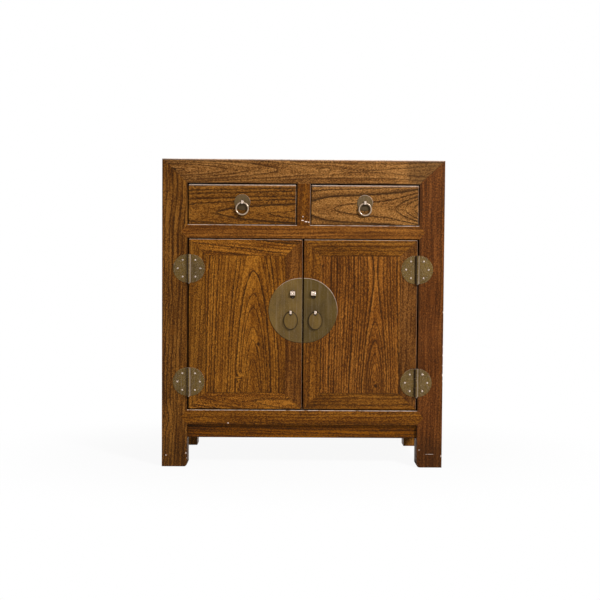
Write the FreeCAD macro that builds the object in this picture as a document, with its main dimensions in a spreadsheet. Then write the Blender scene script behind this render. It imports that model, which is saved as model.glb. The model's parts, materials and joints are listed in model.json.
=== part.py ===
"""Kang cabinet: a low elm cabinet with two drawers over two doors, framed with mitred posts and rails.

Millimetres. X runs to the right, the front faces -Y and +Z is up. The origin is the middle of
the footprint, hardware included, on the floor. The case is symmetric, so each piece is shaped
on the right or at the back and mirrored to its other places.
"""
import FreeCAD, Part
import math
import os
import re
import Sketcher

# Driving sizes, in millimetres. Each one is a cell of the sheet and is written only here.
SIZES = {
    # Case
    "case_width": 800.0,
    "case_depth": 400.0,
    "case_height": 875.0,
    "post_width": 72.0,
    "post_depth": 56.0,
    "top_rail_height": 68.0,
    "drawer_opening_height": 117.0,
    "middle_rail_height": 39.0,
    "door_opening_height": 488.0,
    "bottom_rail_height": 42.0,
    "rail_depth": 40.0,
    "divider_width": 38.5,
    # Joints of the case
    "joint_gap": 0.1,
    "tenon_thickness": 14.0,
    "tenon_setback": 17.0,
    "tenon_shoulder": 8.0,
    "tenon_wall": 2.0,
    "side_tenon_wall": 14.0,
    "short_tenon_length": 12.0,
    "short_tenon_shoulder": 3.0,
    "divider_tenon_thickness": 13.0,
    "point_length": 18.0,
    "point_depth": 12.0,
    "corner_tenon_width": 13.0,
    "corner_tenon_cover": 12.0,
    # Top panel, side panels and back panels
    "top_panel_thickness": 16.0,
    "top_panel_seam": 0.5,
    "top_tongue_thickness": 6.0,
    "top_tongue_drop": 5.0,
    "groove_depth": 8.0,
    "float_gap": 0.4,
    "side_panel_thickness": 10.0,
    "side_panel_recess": 8.0,
    "back_panel_thickness": 8.0,
    "back_panel_recess": 8.0,
    "brace_width": 42.0,
    "brace_height": 26.0,
    "brace_dovetail_depth": 4.0,
    "brace_dovetail_flare": 3.0,
    # Aprons
    "apron_height": 39.0,
    "apron_thickness": 18.0,
    "apron_recess": 12.5,
    "apron_tongue": 6.0,
    "apron_housing": 10.0,
    # Floor board, shelf and drawer runners
    "board_gap": 0.5,
    "floor_thickness": 14.0,
    "shelf_thickness": 16.0,
    "shelf_rise": 235.0,
    "bearer_width": 20.0,
    "bearer_height": 26.0,
    "bearer_inset": 17.0,
    "runner_width": 18.0,
    "runner_ledge": 14.0,
    "runner_thickness": 12.0,
    "runner_guide_height": 30.0,
    "runner_play": 1.0,
    # Doors
    "door_hinge_gap": 3.7,
    "door_meeting_gap": 4.0,
    "door_top_gap": 2.0,
    "door_bottom_gap": 3.3,
    "door_thickness": 24.0,
    "door_stop_gap": 0.5,
    "stile_width": 48.0,
    "door_rail_width": 46.0,
    "door_tenon_thickness": 8.0,
    "door_tenon_setback": 11.0,
    "door_tenon_shoulder": 11.0,
    "door_tenon_wall": 9.0,
    "door_panel_thickness": 12.0,
    "door_panel_setback": 0.6,
    "door_tongue_thickness": 5.0,
    "door_tongue_setback": 4.0,
    "door_groove_depth": 8.0,
    "batten_height": 30.0,
    "batten_drop": 5.25,
    "batten_dovetail_depth": 3.0,
    "batten_dovetail_flare": 2.5,
    "batten_tenon_length": 12.0,
    "batten_back_setback": 2.0,
    # Drawers
    "drawer_side_gap": 2.4,
    "drawer_top_gap": 3.8,
    "drawer_bottom_gap": 1.2,
    "drawer_seat_gap": 0.3,
    "drawer_front_thickness": 20.0,
    "drawer_lap": 6.0,
    "drawer_rear_gap": 58.0,
    "drawer_side_thickness": 12.0,
    "drawer_side_height": 104.0,
    "drawer_back_thickness": 10.0,
    "drawer_back_setback": 14.0,
    "drawer_back_housing": 4.0,
    "drawer_bottom_thickness": 8.0,
    "drawer_bottom_rise": 8.0,
    "drawer_bottom_housing": 6.0,
    # Plates of the hardware
    "plate_thickness": 1.8,
    "lock_plate_radius": 92.0,
    "lock_plate_strip": 4.0,
    "lock_plate_rise": 285.0,
    "drawer_plate_radius": 22.5,
    "drawer_plate_rise": 6.3,
    "slot_gap": 0.3,
    # Split pins that carry the rings and the door pulls
    "eye_radius": 6.0,
    "eye_width": 5.8,
    "eye_strip": 1.8,
    "pin_leg_height": 3.6,
    "pin_leg_split": 0.6,
    "clench_length": 14.0,
    "clench_thickness": 1.4,
    "drawer_eye_drop": 0.2,
    "door_eye_drop": 5.5,
    "door_eye_offset": 35.0,
    # Drawer rings and door pulls
    "ring_radius": 16.9,
    "ring_wire_radius": 2.4,
    "ring_hang": 1.2,
    "pull_half_width": 19.5,
    "pull_half_height": 25.0,
    "pull_thickness": 3.0,
    "pull_bevel": 0.8,
    "pull_bridge": 5.0,
    "pull_hang": 1.0,
    "pull_slot_width": 9.4,
    "pull_slot_play": 0.9,
    # Staples of the doors
    "staple_radius": 9.6,
    "staple_strip": 2.4,
    "staple_width": 13.6,
    "staple_straight": 1.0,
    "staple_leg_width": 6.0,
    "staple_rise": 47.0,
    "staple_offset": 29.5,
    "staple_groove_width": 2.4,
    "staple_groove_depth": 0.6,
    # Hinges
    "hinge_inset": 4.4,
    "upper_hinge_drop": 85.5,
    "lower_hinge_rise": 80.5,
    "leaf_radius": 40.0,
    "leaf_strip": 5.0,
    "knuckle_radius": 5.5,
    "knuckle_lift": 0.3,
    "knuckle_gap": 0.5,
    "knuckle_side_gap": 0.6,
    "pin_radius": 2.6,
    "pin_play": 0.06,
    "pin_foot": 2.6,
    "nail_circle_radius": 27.0,
    "nail_head_radius": 3.0,
    "nail_head_height": 1.6,
    "nail_shank_width": 2.0,
    "nail_length": 13.0,
}

# Shares of the sizes they follow, and counts
CORNER_TENON_NEAR_SHARE = 0.37
CORNER_TENON_FAR_SHARE = 0.73
TAIL_WIDE_SHARES = 0.66
TAIL_NARROW_SHARES = 0.44
TAIL_COUNT = 3
KNUCKLE_COUNT = 3
RING_SIDES = 24
WIRE_SIDES = 8
WIRE_FLAT_SHARE = math.cos(math.pi / WIRE_SIDES)
WIRE_BEVEL_SHARE = 2 - math.sqrt(2)
HAMMERED_SIDES = 16
NAIL_SIDES = 8
NAIL_ANGLES_DEG = (-61.5, 0.0, 61.5)

# Places and lengths worked out from the driving sizes
PLACES = {
    "outer_x": "case_width / 2",
    "opening_x": "outer_x - post_width",
    "front_y": "(plate_thickness + 2 * eye_radius - case_depth) / 2",
    "back_y": "front_y + case_depth",
    "middle_y": "front_y + case_depth / 2",
    "top_rail_low": "case_height - top_rail_height",
    "middle_rail_top": "top_rail_low - drawer_opening_height",
    "middle_rail_low": "middle_rail_top - middle_rail_height",
    "bottom_rail_top": "middle_rail_low - door_opening_height",
    "bottom_rail_low": "bottom_rail_top - bottom_rail_height",
    "apron_low": "bottom_rail_low - apron_height",
    "rail_tenon_length": "post_width - tenon_setback - tenon_thickness - tenon_wall",
    "side_tenon_length": "post_depth - side_tenon_wall",
    "post_back_y": "back_y - post_depth",
    "side_rail_x": "outer_x - rail_depth",
    "side_panel_out": "outer_x - side_panel_recess",
    "side_panel_in": "side_panel_out - side_panel_thickness",
    "back_panel_out": "back_y - back_panel_recess",
    "back_panel_in": "back_panel_out - back_panel_thickness",
    "top_panel_low": "case_height - top_panel_thickness",
    "floor_top": "bottom_rail_top + floor_thickness",
    "shelf_low": "bottom_rail_top + shelf_rise",
    "door_in": "door_meeting_gap / 2",
    "door_out": "opening_x - door_hinge_gap",
    "door_low": "bottom_rail_top + door_bottom_gap",
    "door_high": "middle_rail_low - door_top_gap",
    "door_back": "front_y + door_thickness",
    "lock_plate_z": "bottom_rail_top + lock_plate_rise",
    "plate_front": "front_y - plate_thickness",
    "eye_y": "plate_front - eye_radius",
    "drawer_in": "divider_width / 2 + drawer_side_gap",
    "drawer_out": "opening_x - drawer_side_gap",
    "drawer_low": "middle_rail_top + drawer_bottom_gap",
    "drawer_high": "top_rail_low - drawer_top_gap",
    "drawer_seat": "middle_rail_top + drawer_seat_gap",
    "drawer_side_top": "drawer_seat + drawer_side_height",
    "drawer_front_back": "front_y + drawer_front_thickness",
    "drawer_end": "back_panel_in - drawer_rear_gap",
    "drawer_bottom_low": "drawer_seat + drawer_bottom_rise",
    "drawer_bottom_top": "drawer_bottom_low + drawer_bottom_thickness",
    "drawer_x": "(drawer_in + drawer_out) / 2",
    "drawer_plate_z": "(drawer_low + drawer_high) / 2 + drawer_plate_rise",
    "drawer_eye_z": "drawer_plate_z - drawer_eye_drop",
    "door_eye_z": "lock_plate_z - door_eye_drop",
    "batten_z": "door_eye_z - clench_length - batten_drop - batten_height / 2",
    "staple_z": "lock_plate_z + staple_rise",
    "hinge_x": "opening_x - hinge_inset",
    "hinge_y": "front_y - knuckle_radius - knuckle_lift",
    "knuckle_length": f"(2 * leaf_radius + knuckle_gap) / {KNUCKLE_COUNT} - knuckle_gap",
}

# Starting value of a sketch length, before its constraint takes over
ROUGH = 1.0

WORD = re.compile(r"[a-z][a-z_]+[a-z]")
X_AXIS = FreeCAD.Vector(1, 0, 0)
Y_AXIS = FreeCAD.Vector(0, 1, 0)
Z_AXIS = FreeCAD.Vector(0, 0, 1)
CUBE_DIAGONAL = FreeCAD.Vector(1, 1, 1)
THIRD_TURN_DEG = 120
TAPER_AXES = ("y", "z", "x")

doc = FreeCAD.newDocument("KangCabinet")
sheet = doc.addObject("Spreadsheet::Sheet", "Sizes")
nodes = {}
cuts = []


def fill_sheet():
    """Write the driving sizes into the sheet, one row and one alias each."""
    for row, (alias, value) in enumerate(SIZES.items(), start=1):
        sheet.set(f"A{row}", alias)
        sheet.set(f"B{row}", str(value))
        sheet.setAlias(f"B{row}", alias)
    doc.recompute()


def cells(text):
    """Write a sum of named sizes and places as an expression on the sheet's cells."""
    def swap(match):
        word = match.group(0)
        if word in PLACES:
            return f"({cells(PLACES[word])})"
        return f"Sizes.{word}" if word in SIZES else word
    return WORD.sub(swap, text)


def place(piece, x=None, y=None, z=None):
    """Bind a piece's position to sums of sizes."""
    for axis, text in (("x", x), ("y", y), ("z", z)):
        if text is not None:
            piece.setExpression(f"Placement.Base.{axis}", cells(text))


def turn(piece, axis, degrees):
    """Lay a piece over by turning it about an axis through its own origin."""
    piece.Placement = FreeCAD.Placement(FreeCAD.Vector(), FreeCAD.Rotation(axis, degrees))


def box(name, x, y, z):
    """A squared block between two places on each axis."""
    block = doc.addObject("Part::Box", name)
    for size, (low, high) in (("Length", x), ("Width", y), ("Height", z)):
        block.setExpression(size, cells(f"({high}) - ({low})"))
    place(block, x[0], y[0], z[0])
    return block


def wedge(name, axis, start, end, near, far):
    """A block whose section changes evenly along one axis, from near at start to far at end."""
    block = doc.addObject("Part::Wedge", name)
    turns = TAPER_AXES.index(axis)
    turn(block, CUBE_DIAGONAL, turns * THIRD_TURN_DEG)
    height_axis, width_axis = TAPER_AXES[turns - 2], TAPER_AXES[turns - 1]
    block.setExpression("Ymin", cells(start))
    block.setExpression("Ymax", cells(end))
    for letter, across in (("X", width_axis), ("Z", height_axis)):
        for step, section in (("", near), ("2", far)):
            low, high = section[across]
            block.setExpression(f"{letter}{step}min", cells(low))
            block.setExpression(f"{letter}{step}max", cells(high))
    return block


def rod(name, axis, radius, length, x, y, z):
    """A round bar from a place along +X or +Z."""
    return bar("Part::Cylinder", name, axis, "Radius", radius, length, (x, y, z))


def hammered_rod(name, axis, radius, length, x, y, z):
    """A bar from a place along +X or +Z, rounded by hammering, with flats round it."""
    piece = bar("Part::Prism", name, axis, "Circumradius", radius, length, (x, y, z))
    piece.Polygon = HAMMERED_SIDES
    return piece


def bar(kind, name, axis, radius_property, radius, length, start):
    """A bar of one kind from a place along +X or +Z."""
    piece = doc.addObject(kind, name)
    if axis == "x":
        turn(piece, Y_AXIS, 90)
    piece.setExpression(radius_property, cells(radius))
    piece.setExpression("Height", cells(length))
    place(piece, *start)
    return piece


def join(name, *pieces):
    """Glue solids into one, with no seam left where their faces are flush."""
    whole = doc.addObject("Part::MultiFuse", name)
    whole.Shapes = list(pieces)
    whole.Refine = True
    return whole


def cut(name, base, *tools):
    """Take tools away from a base, and note the pair for the check that wood came off."""
    rest = doc.addObject("Part::Cut", name)
    rest.Base = base
    rest.Tool = tools[0] if len(tools) == 1 else join(f"{name}_tools", *tools)
    rest.Refine = True
    cuts.append(rest)
    return rest


def mirror(name, source, axis, middle="0"):
    """The other hand of a piece, across a plane square to X or Y."""
    twin = doc.addObject("Part::Mirroring", name)
    twin.Source = source
    twin.Normal = X_AXIS if axis == "x" else Y_AXIS
    twin.setExpression(f"Base.{axis}", cells(middle))
    return twin


def group(name, *pieces):
    """Several separate solids that share one node."""
    bundle = doc.addObject("Part::Compound", name)
    bundle.Links = list(pieces)
    return bundle


def node(label, piece):
    """Give a finished sub-part its own name."""
    piece.Label = label
    nodes[label] = piece
    return piece


def both_hands(name, piece):
    """Name a right-hand sub-part and its left-hand twin."""
    node(f"right_{name}", piece)
    node(f"left_{name}", mirror(f"left_{name}_twin", piece, "x"))


def grown(span, gap):
    """A span that is longer by a gap at each end."""
    return f"({span[0]}) - {gap}", f"({span[1]}) + {gap}"


def shrunk(span, gap):
    """A span that is shorter by a gap at each end."""
    return f"({span[0]}) + {gap}", f"({span[1]}) - {gap}"


# Corners of the case

def corner_tenons(name, gap):
    """The two square tenons that stand on the right rear post, one for each top rail."""
    tenons = []
    for rail, x_share, y_share in (
        ("back", CORNER_TENON_FAR_SHARE, CORNER_TENON_NEAR_SHARE),
        ("side", CORNER_TENON_NEAR_SHARE, CORNER_TENON_FAR_SHARE),
    ):
        x = f"outer_x - {x_share} * post_width"
        y = f"back_y - {y_share} * post_depth"
        half = f"(corner_tenon_width / 2 + {gap})"
        span_x = (f"{x} - {half}", f"{x} + {half}")
        span_y = (f"{y} - {half}", f"{y} + {half}")
        span_z = ("top_rail_low", f"case_height - corner_tenon_cover + {gap}")
        tenons.append(box(f"{name}_{rail}", span_x, span_y, span_z))
    return tenons


def corner_pyramid(name, axis):
    """One member's share of the three-way mitre at the right rear top corner of the case.

    Each member comes into the corner block through one face and narrows to the outer corner.
    """
    spans = {
        "x": ("opening_x", "outer_x"),
        "y": ("post_back_y", "back_y"),
        "z": ("top_rail_low", "case_height"),
    }
    across = [letter for letter in spans if letter != axis]
    near = {letter: spans[letter] for letter in across}
    far = {letter: (spans[letter][1], spans[letter][1]) for letter in across}
    return wedge(name, axis, *spans[axis], near, far)


def rail_end(name, low, high, gap):
    """The right end of a rear rail: a pointed mitre over a hidden tenon, grown by a gap."""
    middle = f"(({low}) + ({high})) / 2"
    y_face = ("back_y - point_depth - " + gap, "back_y")
    point = wedge(
        f"{name}_point", "x", "opening_x", f"opening_x + point_length + {gap}",
        {"y": y_face, "z": (low, high)}, {"y": y_face, "z": (middle, middle)},
    )
    tenon_x = ("opening_x - tenon_wall", f"opening_x + rail_tenon_length + {gap}")
    tenon_y = grown(("back_y - tenon_setback - tenon_thickness", "back_y - tenon_setback"), gap)
    tenon_z = grown(shrunk((low, high), "tenon_shoulder"), gap)
    return [point, box(f"{name}_tenon", tenon_x, tenon_y, tenon_z)]


def side_rail_end(name, gap):
    """The rear end of the right bottom side rail: the same pointed mitre and tenon."""
    low, high = "bottom_rail_low", "bottom_rail_top"
    middle = f"({low} + {high}) / 2"
    x_face = ("outer_x - point_depth - " + gap, "outer_x")
    point = wedge(
        f"{name}_point", "y", "post_back_y", f"post_back_y + point_length + {gap}",
        {"x": x_face, "z": (low, high)}, {"x": x_face, "z": (middle, middle)},
    )
    tenon_x = grown(("outer_x - tenon_setback - tenon_thickness", "outer_x - tenon_setback"), gap)
    tenon_y = ("post_back_y - tenon_wall", f"post_back_y + side_tenon_length + {gap}")
    tenon_z = grown(shrunk((low, high), "tenon_shoulder"), gap)
    return [point, box(f"{name}_tenon", tenon_x, tenon_y, tenon_z)]


def short_tenon(name, x, z, gap):
    """The rear tenon of a bar that runs from front to back between two posts or rails."""
    tenon_y = ("post_back_y - tenon_wall", f"post_back_y + short_tenon_length + {gap}")
    return box(
        name, grown(shrunk(x, "short_tenon_shoulder"), gap), tenon_y,
        grown(shrunk(z, "short_tenon_shoulder"), gap),
    )


RUNNER_X = ("drawer_out + runner_play", "drawer_out + runner_play + runner_width")
RUNNER_Z = ("middle_rail_top - runner_thickness", "middle_rail_top + runner_guide_height")
BEARER_X = ("opening_x + bearer_inset", "opening_x + bearer_inset + bearer_width")
BEARER_Z = ("shelf_low - bearer_height", "shelf_low")
POST_RUNNER_X = ("opening_x", RUNNER_X[1])


def side_panel_space(name, gap):
    """The right side panel, or the space that its grooves leave for it."""
    x = grown(("side_panel_in", "side_panel_out"), gap)
    y = grown(("front_y + post_depth", "post_back_y"), f"(groove_depth - float_gap + {gap})")
    z = grown(("bottom_rail_top", "top_rail_low"), f"(groove_depth - float_gap + {gap})")
    return box(name, x, y, z)


def back_panel_space(name, low, high, gap):
    """A back panel, or the space that its grooves leave for it."""
    reach = f"(groove_depth - float_gap + {gap})"
    x = grown(("-(opening_x)", "opening_x"), reach)
    y = grown(("back_panel_in", "back_panel_out"), gap)
    return box(name, x, y, grown((low, high), reach))


def front_apron_space(name, gap):
    """The front apron, housed in the front posts and in the rail above it."""
    x = grown(("-(opening_x)", "opening_x"), f"(apron_housing + {gap})")
    y = grown(("front_y + apron_recess", "front_y + apron_recess + apron_thickness"), gap)
    z = ("apron_low - " + gap, f"bottom_rail_low + apron_tongue + {gap}")
    return box(name, x, y, z)


def side_apron_space(name, gap):
    """The right side apron, housed in the right posts and in the rail above it."""
    x = grown(("outer_x - apron_recess - apron_thickness", "outer_x - apron_recess"), gap)
    y = grown(("front_y + post_depth", "post_back_y"), f"(apron_housing + {gap})")
    z = ("apron_low - " + gap, f"bottom_rail_low + apron_tongue + {gap}")
    return box(name, x, y, z)


def nail_places():
    """The nails of the right hinges: each hinge's height, and each nail's offsets from its pin."""
    places = []
    for hinge, middle in hinge_heights():
        for number, angle in enumerate(NAIL_ANGLES_DEG, start=1):
            out = f"leaf_strip + nail_circle_radius * cos({angle} deg)"
            up = f"nail_circle_radius * sin({angle} deg)"
            places.append((f"{hinge}_{number}", out, f"{middle} + {up}"))
    return places


def hinge_heights():
    """The middle of each hinge of a door."""
    return (
        ("upper", "middle_rail_low - upper_hinge_drop"),
        ("lower", "bottom_rail_top + lower_hinge_rise"),
    )


def nail_shank(name, x, z, gap):
    """The square shank of a nail through leaf and wood, or its hole when grown."""
    half = f"(nail_shank_width / 2 + {gap})"
    return box(
        name, (f"{x} - {half}", f"{x} + {half}"), ("plate_front", f"front_y + nail_length + {gap}"),
        (f"{z} - {half}", f"{z} + {half}"),
    )


def make_posts():
    """Four posts: mitred heads with two tenons, and the mortises of the rails."""
    blank = join(
        "post_blank",
        box("post_leg", ("opening_x", "outer_x"), ("post_back_y", "back_y"), ("0", "top_rail_low")),
        corner_pyramid("post_head", "z"),
        *corner_tenons("post_tenon", "0"),
    )
    master = cut(
        "post_master", blank,
        *rail_end("middle_mortise", "middle_rail_low", "middle_rail_top", "joint_gap"),
        *rail_end("bottom_mortise", "bottom_rail_low", "bottom_rail_top", "joint_gap"),
        *side_rail_end("side_mortise", "joint_gap"),
        side_panel_space("post_panel_groove", "joint_gap"),
        side_apron_space("post_apron_housing", "joint_gap"),
        short_tenon("post_runner_mortise", POST_RUNNER_X, RUNNER_Z, "joint_gap"),
        short_tenon("post_bearer_mortise", BEARER_X, BEARER_Z, "joint_gap"),
    )
    rear = cut(
        "rear_post", master,
        back_panel_space("rear_post_groove", "bottom_rail_top", "top_rail_low", "joint_gap"),
    )
    holes = [
        nail_shank(f"post_nail_hole_{name}", f"hinge_x + {out}", z, "joint_gap")
        for name, out, z in nail_places()
    ]
    front = cut(
        "front_post", mirror("front_post_blank", master, "y", "middle_y"),
        front_apron_space("front_post_apron_housing", "joint_gap"), *holes,
    )
    both_hands("rear_post", rear)
    both_hands("front_post", front)


def top_panel_groove(name, gap):
    """The tongue round the top panel, or the groove that holds it."""
    x = grown(("-(opening_x)", "opening_x"), f"(groove_depth - float_gap + {gap})")
    y = grown(("front_y + post_depth", "post_back_y"), f"(groove_depth - float_gap + {gap})")
    high = "case_height - top_tongue_drop"
    return box(name, x, y, grown((f"{high} - top_tongue_thickness", high), gap))


def brace_space(name, gap):
    """The brace under the top panel: a bar with a dovetail along its upper edge."""
    half = f"(brace_width / 2 + {gap})"
    foot = (f"-{half}", half)
    neck = (f"-({half} - brace_dovetail_flare)", f"{half} - brace_dovetail_flare")
    y = (f"front_y + post_depth - short_tenon_length - {gap}", f"post_back_y + short_tenon_length + {gap}")
    bar = box(f"{name}_bar", foot, y, (f"top_panel_low - brace_height - {gap}", "top_panel_low"))
    tail_y = ("front_y + post_depth + board_gap", "post_back_y - board_gap")
    tail = wedge(
        f"{name}_tail", "z", "top_panel_low", f"top_panel_low + brace_dovetail_depth + {gap}",
        {"x": neck, "y": tail_y}, {"x": foot, "y": tail_y},
    )
    return [bar, tail]


def make_top():
    """The mitred frame of the top, its floating panel and the brace under it."""
    groove = top_panel_groove("top_groove", "joint_gap")
    brace = brace_space("brace_mortise", "joint_gap")
    mortises = corner_tenons("top_mortise", "joint_gap")
    back_half = join(
        "top_back_half",
        box("top_back_bar", ("0", "opening_x"), ("post_back_y", "back_y"), ("top_rail_low", "case_height")),
        corner_pyramid("top_back_mitre", "x"),
    )
    back_half = cut("top_back_half_cut", back_half, *mortises)
    blank = join("top_back_blank", back_half, mirror("top_back_half_twin", back_half, "x"))
    blank = cut("top_back_grooved", blank, groove, *brace)
    side_half = join(
        "top_side_half",
        box("top_side_bar", ("opening_x", "outer_x"), ("middle_y", "post_back_y"),
            ("top_rail_low", "case_height")),
        corner_pyramid("top_side_mitre", "y"),
    )
    side_half = cut("top_side_half_cut", side_half, *mortises)
    side = join("top_side_blank", side_half, mirror("top_side_half_twin", side_half, "y", "middle_y"))
    side = cut("top_side_rail", side, groove, side_panel_space("top_side_groove", "joint_gap"))
    both_hands("top_rail", side)

    upper = ("middle_rail_top", "top_rail_low")
    rear_groove = back_panel_space("top_rear_groove", *upper, "joint_gap")
    node("top_rear_rail", cut("top_rear_rail_cut", blank, rear_groove))
    front = mirror("top_front_blank", blank, "y", "middle_y")
    mortise = divider_tenons("top_divider_mortise", "joint_gap")
    node("top_front_rail", cut("top_front_rail_cut", front, *mortise))

    seam = "top_panel_seam"
    board = box(
        "top_board", shrunk(("-(opening_x)", "opening_x"), seam),
        shrunk(("front_y + post_depth", "post_back_y"), seam), ("top_panel_low", "case_height"),
    )
    panel = join("top_board_tongued", board, top_panel_groove("top_tongue", "0"))
    node("top_panel", cut("top_panel_cut", panel, brace[1]))
    node("top_panel_brace", join("brace", *brace_space("brace_piece", "0")))


def divider_tenons(name, gap):
    """The divider's tenons, into the top rail above and the middle rail below."""
    x = grown(shrunk(("-divider_width / 2", "divider_width / 2"), "tenon_shoulder"), gap)
    tenon_back = "(front_y + rail_depth - short_tenon_length - tenon_wall)"
    y = grown((f"{tenon_back} - divider_tenon_thickness", tenon_back), gap)
    reach = f"(short_tenon_length + {gap})"
    return [
        box(f"{name}_up", x, y, ("top_rail_low - tenon_wall", f"top_rail_low + {reach}")),
        box(f"{name}_down", x, y, (f"middle_rail_top - {reach}", "middle_rail_top + tenon_wall")),
    ]


def rear_rail(name, low, high):
    """A rear rail between the posts, with a pointed mitre and a tenon at each end."""
    half = join(
        f"{name}_half",
        box(f"{name}_bar", ("0", "opening_x"), ("back_y - rail_depth", "back_y"), (low, high)),
        *rail_end(f"{name}_end", low, high, "0"),
    )
    return join(f"{name}_blank", half, mirror(f"{name}_half_twin", half, "x"))


def center_runner_parts(name, gap):
    """The ledge, the guide and the rear tenon of the runner between the drawers."""
    guide = "(drawer_in - runner_play)"
    ledge = f"({guide} + runner_ledge)"
    y = ("front_y + rail_depth", "back_y - rail_depth")
    z = ("middle_rail_top - runner_thickness", "middle_rail_top")
    tenon_x = grown(shrunk((f"-{guide}", guide), "short_tenon_shoulder"), gap)
    tenon_y = grown(y, f"(short_tenon_length + {gap})")
    return [
        box(f"{name}_ledge", (f"-{ledge}", ledge), y, z),
        box(f"{name}_guide", (f"-{guide}", guide), y, (z[0], RUNNER_Z[1])),
        box(f"{name}_tenon", tenon_x, tenon_y, grown(shrunk(z, "short_tenon_shoulder"), gap)),
    ]


def make_rails():
    """The middle and bottom rails, the divider between the drawers and the aprons."""
    middle = rear_rail("middle", "middle_rail_low", "middle_rail_top")
    bottom = rear_rail("bottom", "bottom_rail_low", "bottom_rail_top")
    runner_tenon = center_runner_parts("rail_runner_mortise", "joint_gap")[-1]
    upper_panel = back_panel_space("upper_groove", "middle_rail_top", "top_rail_low", "joint_gap")
    lower_panel = back_panel_space("lower_groove", "bottom_rail_top", "middle_rail_low", "joint_gap")
    node("rear_rails", group(
        "rear_rail_pair",
        cut("rear_middle_rail", middle, upper_panel, lower_panel, runner_tenon),
        cut("rear_bottom_rail", bottom, lower_panel),
    ))
    node("middle_rail", cut(
        "front_middle_rail", mirror("front_middle_blank", middle, "y", "middle_y"),
        divider_tenons("middle_divider_mortise", "joint_gap")[1], runner_tenon,
    ))
    node("bottom_rail", cut(
        "front_bottom_rail", mirror("front_bottom_blank", bottom, "y", "middle_y"),
        front_apron_space("bottom_rail_groove", "joint_gap"),
    ))
    half = join(
        "side_rail_half",
        box("side_rail_bar", ("side_rail_x", "outer_x"), ("middle_y", "post_back_y"),
            ("bottom_rail_low", "bottom_rail_top")),
        *side_rail_end("side_rail_end", "0"),
    )
    whole = join("side_rail_blank", half, mirror("side_rail_half_twin", half, "y", "middle_y"))
    side = cut(
        "bottom_side_rail", whole,
        side_panel_space("side_rail_groove", "joint_gap"),
        side_apron_space("side_rail_apron_groove", "joint_gap"),
    )
    node("bottom_side_rails", group("side_rail_pair", side, mirror("side_rail_twin", side, "x")))

    divider_x = ("-divider_width / 2", "divider_width / 2")
    divider_y = ("front_y", "front_y + rail_depth")
    node("drawer_divider", join(
        "divider", box("divider_bar", divider_x, divider_y, ("middle_rail_top", "top_rail_low")),
        *divider_tenons("divider_tenon", "0"),
    ))
    node("front_apron", front_apron_space("front_apron_board", "0"))
    apron = side_apron_space("side_apron_board", "0")
    node("side_aprons", group("side_apron_pair", apron, mirror("side_apron_twin", apron, "x")))


def make_panels():
    """The floating panels of the sides and the back."""
    side = side_panel_space("side_panel_board", "0")
    node("side_panels", group("side_panel_pair", side, mirror("side_panel_twin", side, "x")))
    node("back_panels", group(
        "back_panel_pair",
        back_panel_space("upper_back_panel", "middle_rail_top", "top_rail_low", "0"),
        back_panel_space("lower_back_panel", "bottom_rail_top", "middle_rail_low", "0"),
    ))


def make_inside():
    """The floor board, the shelf on its bearers and the runners that carry the drawers."""
    panel_x = grown(("-(side_panel_in)", "side_panel_in"), "(-board_gap)")
    floor_y = ("door_back + door_stop_gap", "back_panel_in - board_gap")
    floor = box("floor_blank", panel_x, floor_y, ("bottom_rail_top", "floor_top"))
    notch_x = ("opening_x - board_gap", "outer_x")
    notch_z = ("bottom_rail_top", "floor_top")
    rear_notch = box("floor_rear_notch", notch_x, ("post_back_y - board_gap", "back_y"), notch_z)
    front_notch = mirror("floor_front_notch", rear_notch, "y", "middle_y")
    notches = join("floor_right_notches", rear_notch, front_notch)
    node("floor_board", cut("floor", floor, notches, mirror("floor_left_notches", notches, "x")))

    between_posts = ("front_y + post_depth", "post_back_y")
    shelf_z = ("shelf_low", "shelf_low + shelf_thickness")
    node("shelf", box("shelf_board", panel_x, shrunk(between_posts, "board_gap"), shelf_z))
    bearer_end = short_tenon("bearer_tenon", BEARER_X, BEARER_Z, "0")
    bearer = join(
        "shelf_bearer", box("bearer_bar", BEARER_X, between_posts, BEARER_Z),
        bearer_end, mirror("bearer_front_tenon", bearer_end, "y", "middle_y"),
    )
    node("shelf_bearers", group("bearer_pair", bearer, mirror("bearer_twin", bearer, "x")))

    ledge_x = (f"{RUNNER_X[0]} - runner_ledge", RUNNER_X[1])
    runner_end = short_tenon("runner_tenon", POST_RUNNER_X, RUNNER_Z, "0")
    runner = join(
        "outer_runner",
        box("runner_ledge_bar", ledge_x, between_posts, (RUNNER_Z[0], "middle_rail_top")),
        box("runner_guide_bar", RUNNER_X, between_posts, RUNNER_Z),
        runner_end, mirror("runner_front_tenon", runner_end, "y", "middle_y"),
    )
    center = join("center_runner", *center_runner_parts("center_runner", "0"))
    node("drawer_runners", group("runner_set", runner, mirror("runner_twin", runner, "x"), center))


# Hardware

def plate_sketch(body, name):
    """A sketch on a body's upright plane, seen from the front."""
    sketch = body.newObject("Sketcher::SketchObject", name)
    upright = [plane for plane in body.Origin.OriginFeatures if plane.Role == "XZ_Plane"][0]
    sketch.AttachmentSupport = [(upright, "")]
    sketch.MapMode = "FlatFace"
    return sketch


def limit(sketch, text, kind, *where):
    """Add a constraint to a sketch with its value bound to a sum of sizes."""
    index = sketch.addConstraint(Sketcher.Constraint(kind, *where, ROUGH))
    sketch.setExpression(f"Constraints[{index}]", cells(text))


def pad_plate(name, body, sketch, thickness):
    """Pad a plate outline towards the front."""
    pad = body.newObject("PartDesign::Pad", f"{name}_pad")
    pad.Profile = sketch
    pad.setExpression("Length", cells(thickness))
    body.Tip = pad
    return body


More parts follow.
